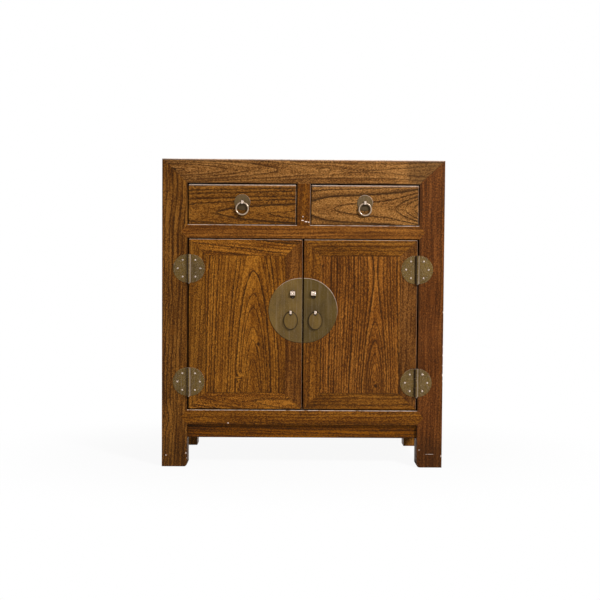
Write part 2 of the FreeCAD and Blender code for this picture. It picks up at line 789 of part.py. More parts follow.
def bevel_rim(name, body, is_rim, size):
    """Bevel the edges of the faces of a body that a rule picks out."""
    base = body.Tip
    doc.recompute()
    bevel = body.newObject("PartDesign::Chamfer", f"{name}_bevel")
    bevel.Base = (base, [
        f"Face{number}" for number, face in enumerate(base.Shape.Faces, start=1) if is_rim(face)])
    bevel.setExpression("Size", cells(size))
    body.Tip = bevel
    return body


def round_plate(name, radius):
    """A round plate."""
    body = doc.addObject("PartDesign::Body", name)
    sketch = plate_sketch(body, f"{name}_outline")
    sketch.addGeometry(Part.Circle(FreeCAD.Vector(), Z_AXIS, ROUGH))
    sketch.addConstraint(Sketcher.Constraint("Coincident", 0, 3, -1, 1))
    limit(sketch, radius, "Radius", 0)
    return pad_plate(name, body, sketch, "plate_thickness")


def half_round_plate(name, radius, strip):
    """Half of a round plate, with a straight strip along its flat edge, to the right of its origin."""
    body = doc.addObject("PartDesign::Body", name)
    sketch = plate_sketch(body, f"{name}_outline")
    top, low = FreeCAD.Vector(ROUGH, 2 * ROUGH), FreeCAD.Vector(ROUGH, -2 * ROUGH)
    edge_top, edge_low = FreeCAD.Vector(0, 2 * ROUGH), FreeCAD.Vector(0, -2 * ROUGH)
    circle = Part.Circle(FreeCAD.Vector(ROUGH, 0), Z_AXIS, 2 * ROUGH)
    arc, upper, edge, lower = range(4)
    sketch.addGeometry(Part.ArcOfCircle(circle, -math.pi / 2, math.pi / 2))
    sketch.addGeometry(Part.LineSegment(top, edge_top))
    sketch.addGeometry(Part.LineSegment(edge_top, edge_low))
    sketch.addGeometry(Part.LineSegment(edge_low, low))
    start, end, centre, origin, x_line, y_line = 1, 2, 3, -1, -1, -2
    for rule in (
        ("Coincident", arc, end, upper, start), ("Coincident", upper, end, edge, start),
        ("Coincident", edge, end, lower, start), ("Coincident", lower, end, arc, start),
        ("Horizontal", upper), ("Vertical", edge), ("Horizontal", lower),
        ("PointOnObject", arc, centre, x_line), ("PointOnObject", edge, start, y_line),
        ("Vertical", arc, centre, arc, end), ("Vertical", arc, centre, arc, start),
    ):
        sketch.addConstraint(Sketcher.Constraint(*rule))
    limit(sketch, radius, "Radius", arc)
    limit(sketch, strip, "DistanceX", origin, start, arc, centre)
    return pad_plate(name, body, sketch, "plate_thickness")


def oval_plate(name, half_width, half_height, thickness, bevel_size):
    """An upright oval plate with a bevelled rim round its face."""
    body = doc.addObject("PartDesign::Body", name)
    sketch = plate_sketch(body, f"{name}_outline")
    top, side = FreeCAD.Vector(0, 2 * ROUGH), FreeCAD.Vector(ROUGH, 0)
    oval, tall_axis, wide_axis = 0, 1, 2
    sketch.addGeometry(Part.Ellipse(top, side, FreeCAD.Vector()))
    sketch.exposeInternalGeometry(oval)
    sketch.addConstraint(Sketcher.Constraint("Coincident", oval, 3, -1, 1))
    sketch.addConstraint(Sketcher.Constraint("Vertical", tall_axis))
    limit(sketch, f"2 * {half_height}", "Distance", tall_axis)
    limit(sketch, f"2 * {half_width}", "Distance", wide_axis)
    pad_plate(name, body, sketch, thickness)
    return bevel_rim(name, body, lambda face: round(face.normalAt(0, 0).y) < 0, bevel_size)


def split_pin_legs(name, x, z, wood_back, gap):
    """The legs of a split pin through plate and wood, or the slot for them when grown."""
    half_width = f"(eye_width / 2 + {gap})"
    half_height = f"(pin_leg_height / 2 + {gap})"
    return box(
        name, (f"{x} - {half_width}", f"{x} + {half_width}"), ("eye_y", wood_back),
        (f"{z} - {half_height}", f"{z} + {half_height}"),
    )


def split_pin(name, x, z, wood_back):
    """A strip bent round into an eye, put through the wood and clenched behind it."""
    left = f"{x} - eye_width / 2"
    right = f"{x} + eye_width / 2"
    clench_y = (wood_back, f"{wood_back} + clench_thickness")
    whole = join(
        f"{name}_bent",
        hammered_rod(f"{name}_eye", "x", "eye_radius", "eye_width", left, "eye_y", z),
        split_pin_legs(f"{name}_legs", x, z, f"{wood_back} + clench_thickness", "0"),
        box(f"{name}_clench", (left, right), clench_y, (f"{z} - clench_length", f"{z} + clench_length")),
    )
    bore = hammered_rod(f"{name}_bore", "x", "eye_radius - eye_strip", "eye_width", left, "eye_y", z)
    slit_y = ("eye_y", f"{wood_back} + clench_thickness")
    slit_z = (f"{z} - pin_leg_split / 2", f"{z} + pin_leg_split / 2")
    return cut(name, whole, bore, box(f"{name}_slit", (left, right), slit_y, slit_z))


def make_drawer():
    """One drawer: a lapped front, dovetailed sides, a housed back and a bottom in grooves."""
    inner = ("drawer_in", "drawer_in + drawer_side_thickness")
    outer = ("drawer_out - drawer_side_thickness", "drawer_out")
    tails, sockets = [], []
    for side, span in (("inner", inner), ("outer", outer)):
        for number in range(TAIL_COUNT):
            for bucket, gap in ((tails, "0"), (sockets, "joint_gap")):
                pitch = f"(drawer_side_height / {TAIL_COUNT})"
                middle = f"drawer_seat + {number + 0.5} * {pitch}"
                wide = f"({TAIL_WIDE_SHARES / 2} * {pitch} + {gap})"
                narrow = f"({TAIL_NARROW_SHARES / 2} * {pitch} + {gap})"
                bucket.append(wedge(
                    f"{side}_tail_{number}", "y", f"front_y + drawer_lap - {gap}", "drawer_front_back",
                    {"x": span, "z": (f"{middle} - {wide}", f"{middle} + {wide}")},
                    {"x": span, "z": (f"{middle} - {narrow}", f"{middle} + {narrow}")},
                ))
    bottom_x = (f"{inner[1]} - drawer_bottom_housing", f"{outer[0]} + drawer_bottom_housing")
    bottom_y = ("drawer_front_back - drawer_bottom_housing", "drawer_end")
    bottom_z = ("drawer_bottom_low", "drawer_bottom_top")
    groove = box("drawer_bottom_groove", grown(bottom_x, "joint_gap"), grown(bottom_y, "joint_gap"),
                 grown(bottom_z, "joint_gap"))
    back_x = (f"{inner[1]} - drawer_back_housing", f"{outer[0]} + drawer_back_housing")
    back_y = ("drawer_end - drawer_back_setback - drawer_back_thickness", "drawer_end - drawer_back_setback")
    back_z = ("drawer_bottom_top", "drawer_side_top")
    housing = box("drawer_back_housing", grown(back_x, "joint_gap"), grown(back_y, "joint_gap"), back_z)

    legs = split_pin_legs("drawer_pin_slot", "drawer_x", "drawer_eye_z", "drawer_front_back", "slot_gap")
    blank = box("drawer_front_blank", ("drawer_in", "drawer_out"), ("front_y", "drawer_front_back"),
                ("drawer_low", "drawer_high"))
    both_hands("drawer_front", cut("drawer_front", blank, *sockets, groove, legs))

    sides = []
    for name, span, first in (("inner", inner, 0), ("outer", outer, TAIL_COUNT)):
        board = box(f"{name}_side_board", span, ("drawer_front_back", "drawer_end"),
                    ("drawer_seat", "drawer_side_top"))
        tailed = join(f"{name}_side_tailed", board, *tails[first:first + TAIL_COUNT])
        sides.append(cut(f"{name}_side", tailed, groove, housing))
    both_hands("drawer_sides", group("drawer_side_pair", *sides))
    both_hands("drawer_back", box("drawer_back", back_x, back_y, back_z))
    both_hands("drawer_bottom", box("drawer_bottom", bottom_x, bottom_y, bottom_z))

    plate = round_plate("drawer_plate_body", "drawer_plate_radius")
    place(plate, "drawer_x", "front_y", "drawer_plate_z")
    both_hands("drawer_pull_plate", cut("drawer_plate", plate, legs))
    both_hands("drawer_pull_pin", split_pin(
        "drawer_pin", "drawer_x", "drawer_eye_z", "drawer_front_back"))
    both_hands("drawer_ring", make_ring())


def make_ring():
    """A ring of hammered wire, with flats round the wire, in a plane that faces the drawer."""
    body = doc.addObject("PartDesign::Body", "ring_body")
    half = f"({WIRE_FLAT_SHARE} * ring_wire_radius)"
    disc = body.newObject("PartDesign::AdditivePrism", "ring_disc")
    inside = body.newObject("PartDesign::SubtractivePrism", "ring_inside")
    for piece, radius in ((disc, f"ring_radius + {half}"), (inside, f"ring_radius - {half}")):
        piece.Polygon = RING_SIDES
        piece.setExpression("Circumradius", cells(radius))
        piece.setExpression("Height", cells(f"2 * {half}"))
    body.Tip = inside
    bevel_rim("ring", body, lambda face: round(face.normalAt(0, 0).z), f"{WIRE_BEVEL_SHARE} * {half}")
    turn(body, X_AXIS, 90)
    place(body, "drawer_x", f"eye_y + {half}", "drawer_eye_z - ring_hang - ring_radius")
    return body


def staple_arch(name, radius, left, right):
    """A half-round bar that stands on the door plate with its hollow along X."""
    length = f"({right}) - ({left})"
    round_y = "plate_front - staple_straight"
    sides = box(f"{name}_straight", (left, right), (round_y, "plate_front"),
                (f"staple_z - {radius}", f"staple_z + {radius}"))
    full = hammered_rod(f"{name}_round", "x", radius, length, left, round_y, "staple_z")
    front = box(f"{name}_front", (left, right), (f"{round_y} - {radius}", round_y),
                (f"staple_z - {radius}", f"staple_z + {radius}"))
    half = doc.addObject("Part::Common", f"{name}_half")
    half.Base = full
    half.Tool = front
    return join(name, sides, half)


def staple_legs(name, gap):
    """The two legs of a staple through plate and wood, or the slots for them when grown."""
    half = f"(staple_leg_width / 2 + {gap})"
    x = (f"staple_offset - {half}", f"staple_offset + {half}")
    outer = "(staple_radius - staple_strip)"
    y = ("plate_front", "door_back")
    return [
        box(f"{name}_upper", x, y, grown((f"staple_z + {outer}", "staple_z + staple_radius"), gap)),
        box(f"{name}_lower", x, y, grown(("staple_z - staple_radius", f"staple_z - {outer}"), gap)),
    ]


def make_staple():
    """A strip bent into an arch for a lock bar, with a groove along its middle and clenched legs."""
    left, right = "staple_offset - staple_width / 2", "staple_offset + staple_width / 2"
    outer = staple_arch("staple_outer", "staple_radius", left, right)
    inner = staple_arch("staple_inner", "(staple_radius - staple_strip)", left, right)
    half = "staple_groove_width / 2"
    groove_x = (f"staple_offset - {half}", f"staple_offset + {half}")
    groove = cut(
        "staple_groove",
        staple_arch("staple_groove_outer", "(staple_radius + staple_groove_depth)", *groove_x),
        staple_arch("staple_groove_inner", "(staple_radius - staple_groove_depth)", *groove_x),
    )
    x = ("staple_offset - staple_leg_width / 2", "staple_offset + staple_leg_width / 2")
    y = ("door_back", "door_back + clench_thickness")
    near, far = "(staple_radius - staple_strip)", "(staple_radius + clench_length / 2)"
    clenches = [
        box("staple_clench_up", x, y, (f"staple_z + {near}", f"staple_z + {far}")),
        box("staple_clench_down", x, y, (f"staple_z - {far}", f"staple_z - {near}")),
    ]
    arch = cut("staple_arch", outer, inner, groove)
    both_hands("door_staple", join("staple", arch, *staple_legs("staple_leg", "0"), *clenches))


def make_door_pull():
    """A flat oval pull with a bevelled rim and a slot near its top for the split pin."""
    oval = oval_plate("pull_oval", "pull_half_width", "pull_half_height", "pull_thickness", "pull_bevel")
    place(oval, "door_eye_offset", "eye_y + pull_thickness / 2",
          "door_eye_z - pull_hang + pull_bridge / 2 - pull_half_height")
    half = "pull_slot_width / 2"
    slot = box(
        "pull_slot", (f"door_eye_offset - {half}", f"door_eye_offset + {half}"),
        ("eye_y - pull_thickness", "eye_y + pull_thickness"),
        ("door_eye_z - eye_radius - pull_slot_play", "door_eye_z - pull_hang - pull_bridge / 2"),
    )
    both_hands("door_pull", cut("door_pull", oval, slot))


def make_hinges():
    """The four round hinges: leaves with rolled knuckles, pins, and nails."""
    post_leaves, door_leaves, pins = [], [], []
    for name, middle in hinge_heights():
        leaf = half_round_plate(f"{name}_leaf_body", "leaf_radius", "leaf_strip")
        place(leaf, "hinge_x", "front_y", middle)
        facing = mirror(f"{name}_facing_leaf", leaf, "x", "hinge_x")
        knuckles, notches = {0: [], 1: []}, {0: [], 1: []}
        for number in range(KNUCKLE_COUNT):
            owner = number % 2
            low = f"{middle} - leaf_radius + {number} * (knuckle_length + knuckle_gap)"
            knuckle = hammered_rod(f"{name}_knuckle_{number}", "z", "knuckle_radius",
                                   "knuckle_length", "hinge_x", "hinge_y", low)
            knuckles[owner].append(knuckle)
            reach = "(knuckle_radius + knuckle_side_gap)"
            notches[1 - owner].append(box(
                f"{name}_notch_{number}", (f"hinge_x - {reach}", f"hinge_x + {reach}"),
                ("front_y - 2 * plate_thickness", "front_y"),
                (f"{low} - knuckle_gap", f"{low} + knuckle_length + knuckle_gap"),
            ))
        bore = rod(f"{name}_hinge_bore", "z", "pin_radius + pin_play", "2 * leaf_radius",
                   "hinge_x", "hinge_y", f"{middle} - leaf_radius")
        for owner, plate, leaves, sign in ((0, leaf, post_leaves, "+"), (1, facing, door_leaves, "-")):
            holes = [
                nail_shank(f"leaf_hole_{nail}_{owner}", f"hinge_x {sign} ({out})", z, "joint_gap")
                for nail, out, z in nail_places() if nail.startswith(name)
            ]
            notched = cut(f"{name}_leaf_{owner}_notched", plate, *notches[owner], *holes)
            rolled = join(f"{name}_leaf_{owner}_rolled", notched, *knuckles[owner])
            leaves.append(cut(f"{name}_leaf_{owner}", rolled, bore))
        pins.append(rod(f"{name}_pin", "z", "pin_radius", "2 * leaf_radius + pin_foot",
                        "hinge_x", "hinge_y", f"{middle} - leaf_radius - pin_foot"))

    right = group("right_post_leaves", *post_leaves)
    node("case_hinge_leaves", group("post_leaf_set", right, mirror("left_post_leaves", right, "x")))
    right = group("right_pins", *pins)
    node("hinge_pins", group("pin_set", right, mirror("left_pins", right, "x")))
    both_hands("door_hinge_leaves", group("right_door_leaves", *door_leaves))

    post_nails = group("right_post_nails", *[
        nail(f"post_nail_{name}", f"hinge_x + {out}", z) for name, out, z in nail_places()])
    node("case_hinge_nails", group("post_nail_set", post_nails, mirror("left_post_nails", post_nails, "x")))
    both_hands("door_hinge_nails", group("right_door_nails", *[
        nail(f"door_nail_{name}", f"hinge_x - ({out})", z) for name, out, z in nail_places()]))


def nail(name, x, z):
    """A nail with a hammered head that stands on the leaf and a square shank in the wood."""
    head = doc.addObject("Part::Prism", f"{name}_head")
    turn(head, X_AXIS, 90)
    head.Polygon = NAIL_SIDES
    head.setExpression("Circumradius", cells("nail_head_radius"))
    head.setExpression("Height", cells("nail_head_height"))
    place(head, x, "plate_front", z)
    return join(name, head, nail_shank(f"{name}_shank", x, z, "0"))


def door_tenon(name, edge, gap):
    """A door rail's two tenons as one bar through the rail, at the top or at the bottom."""
    span = {
        "top": ("door_high - door_rail_width", "door_high"),
        "bottom": ("door_low", "door_low + door_rail_width"),
    }[edge]
    x = grown(shrunk(("door_in", "door_out"), "door_tenon_wall"), gap)
    y = grown(("front_y + door_tenon_setback", "front_y + door_tenon_setback + door_tenon_thickness"), gap)
    return box(name, x, y, grown(shrunk(span, "door_tenon_shoulder"), gap))


def batten_space(name, gap):
    """The batten across the back of a door panel, dovetailed into it and tenoned into the stiles."""
    half = f"(batten_height / 2 + {gap})"
    neck = f"({half} - batten_dovetail_flare)"
    board_back = "front_y + door_panel_setback + door_panel_thickness"
    x = grown(shrunk(("door_in", "door_out"), "stile_width"), f"(batten_tenon_length + {gap})")
    bar = box(f"{name}_bar", x, (board_back, f"door_back - batten_back_setback + {gap}"),
              (f"batten_z - {half}", f"batten_z + {half}"))
    tail = wedge(
        f"{name}_tail", "y", f"{board_back} - batten_dovetail_depth - {gap}", board_back,
        {"x": shrunk(("door_in", "door_out"), "(stile_width + board_gap)"),
         "z": (f"batten_z - {half}", f"batten_z + {half}")},
        {"x": shrunk(("door_in", "door_out"), "(stile_width + board_gap)"),
         "z": (f"batten_z - {neck}", f"batten_z + {neck}")},
    )
    return [bar, tail]


def make_door():
    """One door: a mitred frame round a flush floating panel, and the slots for its hardware."""
    y = ("front_y", "door_back")
    outer_x, outer_z = ("door_in", "door_out"), ("door_low", "door_high")
    inner_x, inner_z = shrunk(outer_x, "stile_width"), shrunk(outer_z, "door_rail_width")
    tongue_y = ("front_y + door_tongue_setback", "front_y + door_tongue_setback + door_tongue_thickness")
    groove = box("door_groove", grown(inner_x, "door_groove_depth"), grown(tongue_y, "joint_gap"),
                 grown(inner_z, "door_groove_depth"))
    mortises = [door_tenon("door_top_mortise", "top", "joint_gap"),
                door_tenon("door_bottom_mortise", "bottom", "joint_gap"),
                batten_space("batten_mortise", "joint_gap")[0]]
    hinge_blank = wedge("hinge_stile_blank", "x", inner_x[1], outer_x[1],
                        {"y": y, "z": inner_z}, {"y": y, "z": outer_z})
    meeting_blank = wedge("meeting_stile_blank", "x", outer_x[0], inner_x[0],
                          {"y": y, "z": outer_z}, {"y": y, "z": inner_z})
    holes = [
        nail_shank(f"stile_nail_hole_{name}", f"hinge_x - ({out})", z, "joint_gap")
        for name, out, z in nail_places()
    ]
    pin_slot = split_pin_legs("door_pin_slot", "door_eye_offset", "door_eye_z", "door_back", "slot_gap")
    slots = [pin_slot, *staple_legs("staple_slot", "slot_gap")]
    both_hands("door_hinge_stile", cut("hinge_stile", hinge_blank, groove, *mortises, *holes))
    both_hands("door_meeting_stile", cut("meeting_stile", meeting_blank, groove, *mortises, *slots))

    top = wedge("door_top_blank", "z", inner_z[1], outer_z[1], {"x": inner_x, "y": y}, {"x": outer_x, "y": y})
    low = wedge("door_low_blank", "z", outer_z[0], inner_z[0], {"x": outer_x, "y": y}, {"x": inner_x, "y": y})
    rails = [
        cut("door_top_rail", join("door_top_tenoned", top, door_tenon("door_top_tenon", "top", "0")), groove),
        cut("door_low_rail", join("door_low_tenoned", low, door_tenon("door_low_tenon", "bottom", "0")), groove),
    ]
    batten = join("door_batten", *batten_space("batten_piece", "0"))
    both_hands("door_crosspieces", group("door_crosspiece_set", *rails, batten))

    front = "front_y + door_panel_setback"
    board_y = (front, f"{front} + door_panel_thickness")
    board = box("door_board", shrunk(inner_x, "float_gap"), board_y, shrunk(inner_z, "float_gap"))
    tongue = box("door_tongue", grown(inner_x, "(door_groove_depth - float_gap)"), tongue_y,
                 grown(inner_z, "(door_groove_depth - float_gap)"))
    panel = join("door_board_tongued", board, tongue)
    both_hands("door_panel", cut("door_panel", panel, batten_space("panel_dovetail", "joint_gap")[1]))

    plate = half_round_plate("lock_plate_body", "lock_plate_radius", "lock_plate_strip")
    place(plate, "door_in", "front_y", "lock_plate_z")
    both_hands("door_lock_plate", cut("lock_plate", plate, *slots))
    both_hands("door_pull_pin", split_pin(
        "door_pin", "door_eye_offset", "door_eye_z", "door_back"))


def check_model():
    """Stop if an object failed, a cut took nothing off or a sub-part isn't sound."""
    for piece in doc.Objects:
        if {"Invalid", "Error"} & set(piece.State):
            raise RuntimeError(f"{piece.Name} failed: {piece.State}")
    for piece in cuts:
        if not piece.Shape.Volume < piece.Base.Shape.Volume:
            raise RuntimeError(f"{piece.Name} took nothing off")
    for label, piece in nodes.items():
        if piece.Shape.isNull() or not piece.Shape.isValid() or not piece.Shape.Solids:
            raise RuntimeError(f"{label} is not a sound solid")


def write_parts():
    """Write each sub-part to its own file."""
    os.makedirs("parts", exist_ok=True)
    for label, piece in nodes.items():
        piece.Shape.exportStep(f"parts/{label}.step")
    print(f"{len(nodes)} sub-parts written")


fill_sheet()
make_posts()
make_top()
make_rails()
make_panels()
make_inside()
make_drawer()
make_door()
make_staple()
make_door_pull()
make_hinges()
doc.recompute()
check_model()
write_parts()
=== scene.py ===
"""Looks of a low elm cabinet with two drawers over two doors, set on a plain studio floor.

Metres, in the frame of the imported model: X to the right, the front faces -Y, +Z up.
"""

import functools
import json
import math
import random

import bpy
from mathutils import Matrix, Vector

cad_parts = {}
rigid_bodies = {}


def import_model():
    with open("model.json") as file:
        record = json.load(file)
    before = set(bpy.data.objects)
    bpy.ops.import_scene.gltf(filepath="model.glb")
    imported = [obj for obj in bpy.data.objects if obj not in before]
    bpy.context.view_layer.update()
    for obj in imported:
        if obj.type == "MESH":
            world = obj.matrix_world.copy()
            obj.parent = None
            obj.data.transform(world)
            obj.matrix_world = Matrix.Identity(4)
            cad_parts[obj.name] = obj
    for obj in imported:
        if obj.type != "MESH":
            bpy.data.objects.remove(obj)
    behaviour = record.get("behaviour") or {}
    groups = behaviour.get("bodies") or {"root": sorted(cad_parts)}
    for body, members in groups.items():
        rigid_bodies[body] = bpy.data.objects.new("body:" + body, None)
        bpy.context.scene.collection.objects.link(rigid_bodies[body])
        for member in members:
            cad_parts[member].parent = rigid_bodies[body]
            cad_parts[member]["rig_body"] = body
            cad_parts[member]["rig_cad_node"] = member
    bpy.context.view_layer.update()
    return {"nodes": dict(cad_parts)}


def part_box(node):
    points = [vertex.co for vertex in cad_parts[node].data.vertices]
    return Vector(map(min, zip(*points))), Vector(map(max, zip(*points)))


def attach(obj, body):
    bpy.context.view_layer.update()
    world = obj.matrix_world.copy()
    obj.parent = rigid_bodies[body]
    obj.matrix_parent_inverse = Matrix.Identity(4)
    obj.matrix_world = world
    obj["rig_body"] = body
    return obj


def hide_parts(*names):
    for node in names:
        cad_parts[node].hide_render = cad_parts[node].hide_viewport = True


bl_info = {
    "name": "Elm Cabinet",
    "version": (1, 0, 0),
    "blender": (4, 5, 0),
    "location": "3D View > Sidebar > Cabinet",
    "description": "Eases, grains and furnishes a low elm cabinet and sets it in a plain studio",
    "category": "Object",
}

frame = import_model()

SIDES = (("left", -1), ("right", 1))
METRE = 1.0
MM = 0.001
MERGE = 0.01 * MM
ON_PLANE = 0.05 * MM
RING_GROWTH = 60 * MM
CHIP_DEPTH = 5 * MM
FLAT_ANGLE = math.radians(0.2)
SMOOTH_ANGLE = math.radians(38)
METAL_ANGLE = math.radians(28)


# Settings that a user would change

class WoodSettings(bpy.types.PropertyGroup):
    """Colours and edges of the wood."""
    pale: bpy.props.FloatVectorProperty(
        name="Pale wood", description="Lightest streaks of the elm", subtype="COLOR",
        default=(0.325, 0.138, 0.021), min=0, max=1)
    middle: bpy.props.FloatVectorProperty(
        name="Middle wood", description="Main colour of the elm", subtype="COLOR",
        default=(0.164, 0.059, 0.0068), min=0, max=1)
    deep: bpy.props.FloatVectorProperty(
        name="Deep wood", description="Darkest streaks of the elm", subtype="COLOR",
        default=(0.054, 0.0165, 0.0021), min=0, max=1)
    line: bpy.props.FloatVectorProperty(
        name="Ring line", description="Open pores along the growth rings", subtype="COLOR",
        default=(0.012, 0.0045, 0.0016), min=0, max=1)
    # This colour also paints the highlight on open edges that face up or right and on the pale band
    # along the top front edge
    worn: bpy.props.FloatVectorProperty(
        name="Worn edge", description="Edges where the varnish has gone", subtype="COLOR",
        default=(0.74, 0.58, 0.48), min=0, max=1)
    bare: bpy.props.FloatVectorProperty(
        name="Bare wood", description="Unfinished wood of the inside", subtype="COLOR",
        default=(0.33, 0.19, 0.085), min=0, max=1)
    open_edge: bpy.props.FloatProperty(
        name="Open edge", description="Rounding of the edges that hands reach", default=1.9 * MM,
        min=0, max=4 * MM, unit="LENGTH")
    joint_edge: bpy.props.FloatProperty(
        name="Joint edge", description="Rounding of the edges that meet another piece",
        default=0.3 * MM, min=0, max=MM, unit="LENGTH")
    # The bands of wear with its painted highlight, and of painted shade, along open edges are this
    # wide
    wear_and_light_width: bpy.props.FloatProperty(
        name="Width of wear", description="How far the wear reaches in from an open edge",
        default=2.4 * MM, min=0, max=10 * MM, unit="LENGTH")


class MetalSettings(bpy.types.PropertyGroup):
    """Colours and edges of the brass."""
    brass: bpy.props.FloatVectorProperty(
        name="Aged brass", description="Dulled face of the plates", subtype="COLOR",
        default=(0.168, 0.097, 0.0195), min=0, max=1)
    # This colour also paints shade: on faces turned from the light, and the painted shadows round
    # pulls and under rings, staples and pins
    tarnish: bpy.props.FloatVectorProperty(
        name="Tarnish", description="Dark spots and corners", subtype="COLOR",
        default=(0.030, 0.018, 0.007), min=0, max=1)
    # This colour also paints the highlights on lit edges and on lit faces that look to the front or
    # up
    rubbed: bpy.props.FloatVectorProperty(
        name="Rubbed brass", description="Metal that fingers keep bright", subtype="COLOR",
        default=(0.80, 0.64, 0.52), min=0, max=1)
    bronze: bpy.props.FloatVectorProperty(
        name="Ring metal", description="Browner metal of the drawer rings", subtype="COLOR",
        default=(0.40, 0.29, 0.20), min=0, max=1)
    edge: bpy.props.FloatProperty(
        name="Metal edge", description="Rounding of small metal edges", default=0.4 * MM,
        min=0, max=MM, unit="LENGTH")
    plate_edge: bpy.props.FloatProperty(
        name="Plate edge", description="Width of the chamfer round a plate", default=1.4 * MM,
        min=0, max=2 * MM, unit="LENGTH")


class StageSettings(bpy.types.PropertyGroup):
    """Light, floor and camera."""
    sky: bpy.props.FloatProperty(
        name="Sky", description="Strength of the even light from all round", default=0.175,
        min=0, max=2)
    key: bpy.props.FloatProperty(
        name="Key lamp", description="Power of the lamp at the upper right", default=138.0,
        min=0, max=500, unit="POWER")
    fill: bpy.props.FloatProperty(
        name="Fill lamp", description="Power of the lamp at the left", default=8.0,
        min=0, max=500, unit="POWER")
    camera_place: bpy.props.FloatVectorProperty(
        name="Camera place", description="Where the camera stands", subtype="TRANSLATION",
        default=(-0.041, -3.1931, 0.603), unit="LENGTH")
    camera_yaw: bpy.props.FloatProperty(
        name="Camera yaw", description="Turn towards +X", subtype="ANGLE",
        default=math.radians(0.62))
    camera_pitch: bpy.props.FloatProperty(
        name="Camera pitch", description="Tilt down", subtype="ANGLE", default=math.radians(2.39))
    camera_roll: bpy.props.FloatProperty(
        name="Camera roll", description="Turn about the line of sight", subtype="ANGLE",
        default=math.radians(0.41))
    focal_pixels: bpy.props.FloatProperty(
        name="Focal length", description="In pixels of a picture 600 pixels wide", default=1057.4,
        min=100, max=10000)


def wood():
    return bpy.context.scene.cabinet_wood


def metal():
    return bpy.context.scene.cabinet_metal


def stage():
    return bpy.context.scene.cabinet_stage


# Selecting and shaping

def only(*pieces):
    """Select these pieces and nothing else, with the first one active."""
    if bpy.context.mode != "OBJECT":
        bpy.ops.object.mode_set(mode="OBJECT")
    bpy.ops.object.select_all(action="DESELECT")
    for piece in pieces:
        piece.select_set(True)
    bpy.context.view_layer.objects.active = pieces[0]


def copy_of(node, name):
    """A merged copy of a node of the frame, free to be shaped."""
    only(frame["nodes"][node])
    bpy.ops.object.duplicate()
    piece = bpy.context.active_object
    piece.name = name
    piece.data.name = name
    piece.parent = None
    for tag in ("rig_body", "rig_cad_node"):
        del piece[tag]
    piece.data.materials.clear()
    bpy.ops.mesh.customdata_custom_splitnormals_clear()
    bpy.ops.object.mode_set(mode="EDIT")
    bpy.ops.mesh.select_all(action="SELECT")
    bpy.ops.mesh.remove_doubles(threshold=MERGE)
    bpy.ops.mesh.dissolve_limited(angle_limit=FLAT_ANGLE)
    bpy.ops.object.mode_set(mode="OBJECT")
    return piece


def select_edges(piece, wanted):
    """Select the edges of a piece that a test on their two ends picks."""
    mesh = piece.data
    bpy.context.tool_settings.mesh_select_mode = (False, True, False)
    mesh.vertices.foreach_set("select", [False] * len(mesh.vertices))
    mesh.polygons.foreach_set("select", [False] * len(mesh.polygons))
    found = 0
    for edge in mesh.edges:
        edge.select = wanted(*[mesh.vertices[index].co for index in edge.vertices])
        if edge.select:
            found += 1
            for index in edge.vertices:
                mesh.vertices[index].select = True
    return found


def bevel_edges(piece, wanted, width, segments):
    """Round the edges that a test picks."""
    only(piece)
    if not select_edges(piece, wanted):
        return
    bpy.ops.object.mode_set(mode="EDIT")
    bpy.ops.mesh.bevel(offset=width, segments=segments, affect="EDGES", clamp_overlap=True)
    bpy.ops.object.mode_set(mode="OBJECT")


def planes_met(first, second, low, high):
    """How many planes of a box an edge lies in."""
    return sum(
        abs(first[axis] - level) < ON_PLANE and abs(second[axis] - level) < ON_PLANE
        for axis in range(3) for level in (low[axis], high[axis])
    )


def box_of(nodes):
    """The lowest and highest corner of some nodes of the frame."""
    boxes = [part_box(node) for node in nodes]
    low = Vector([min(box[0][axis] for box in boxes) for axis in range(3)])
    high = Vector([max(box[1][axis] for box in boxes) for axis in range(3)])
    return low, high


def smooth(piece):
    """Shade a piece smooth over its roundings and flat on its faces."""
    only(piece)
    bpy.ops.object.shade_smooth_by_angle(angle=SMOOTH_ANGLE)
    bpy.ops.object.modifier_add(type="WEIGHTED_NORMAL")
    bpy.context.object.modifiers[-1].keep_sharp = True
    bpy.ops.object.modifier_apply(modifier=bpy.context.object.modifiers[-1].name)


def finish(piece, material, node):
    """Give a piece its material and slot, and let it stand for a node and ride on its body."""
    body = frame["nodes"][node]["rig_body"]
    piece.data.materials.clear()
    piece.data.materials.append(material)
    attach(piece, body)
    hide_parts(node)


# Building node trees

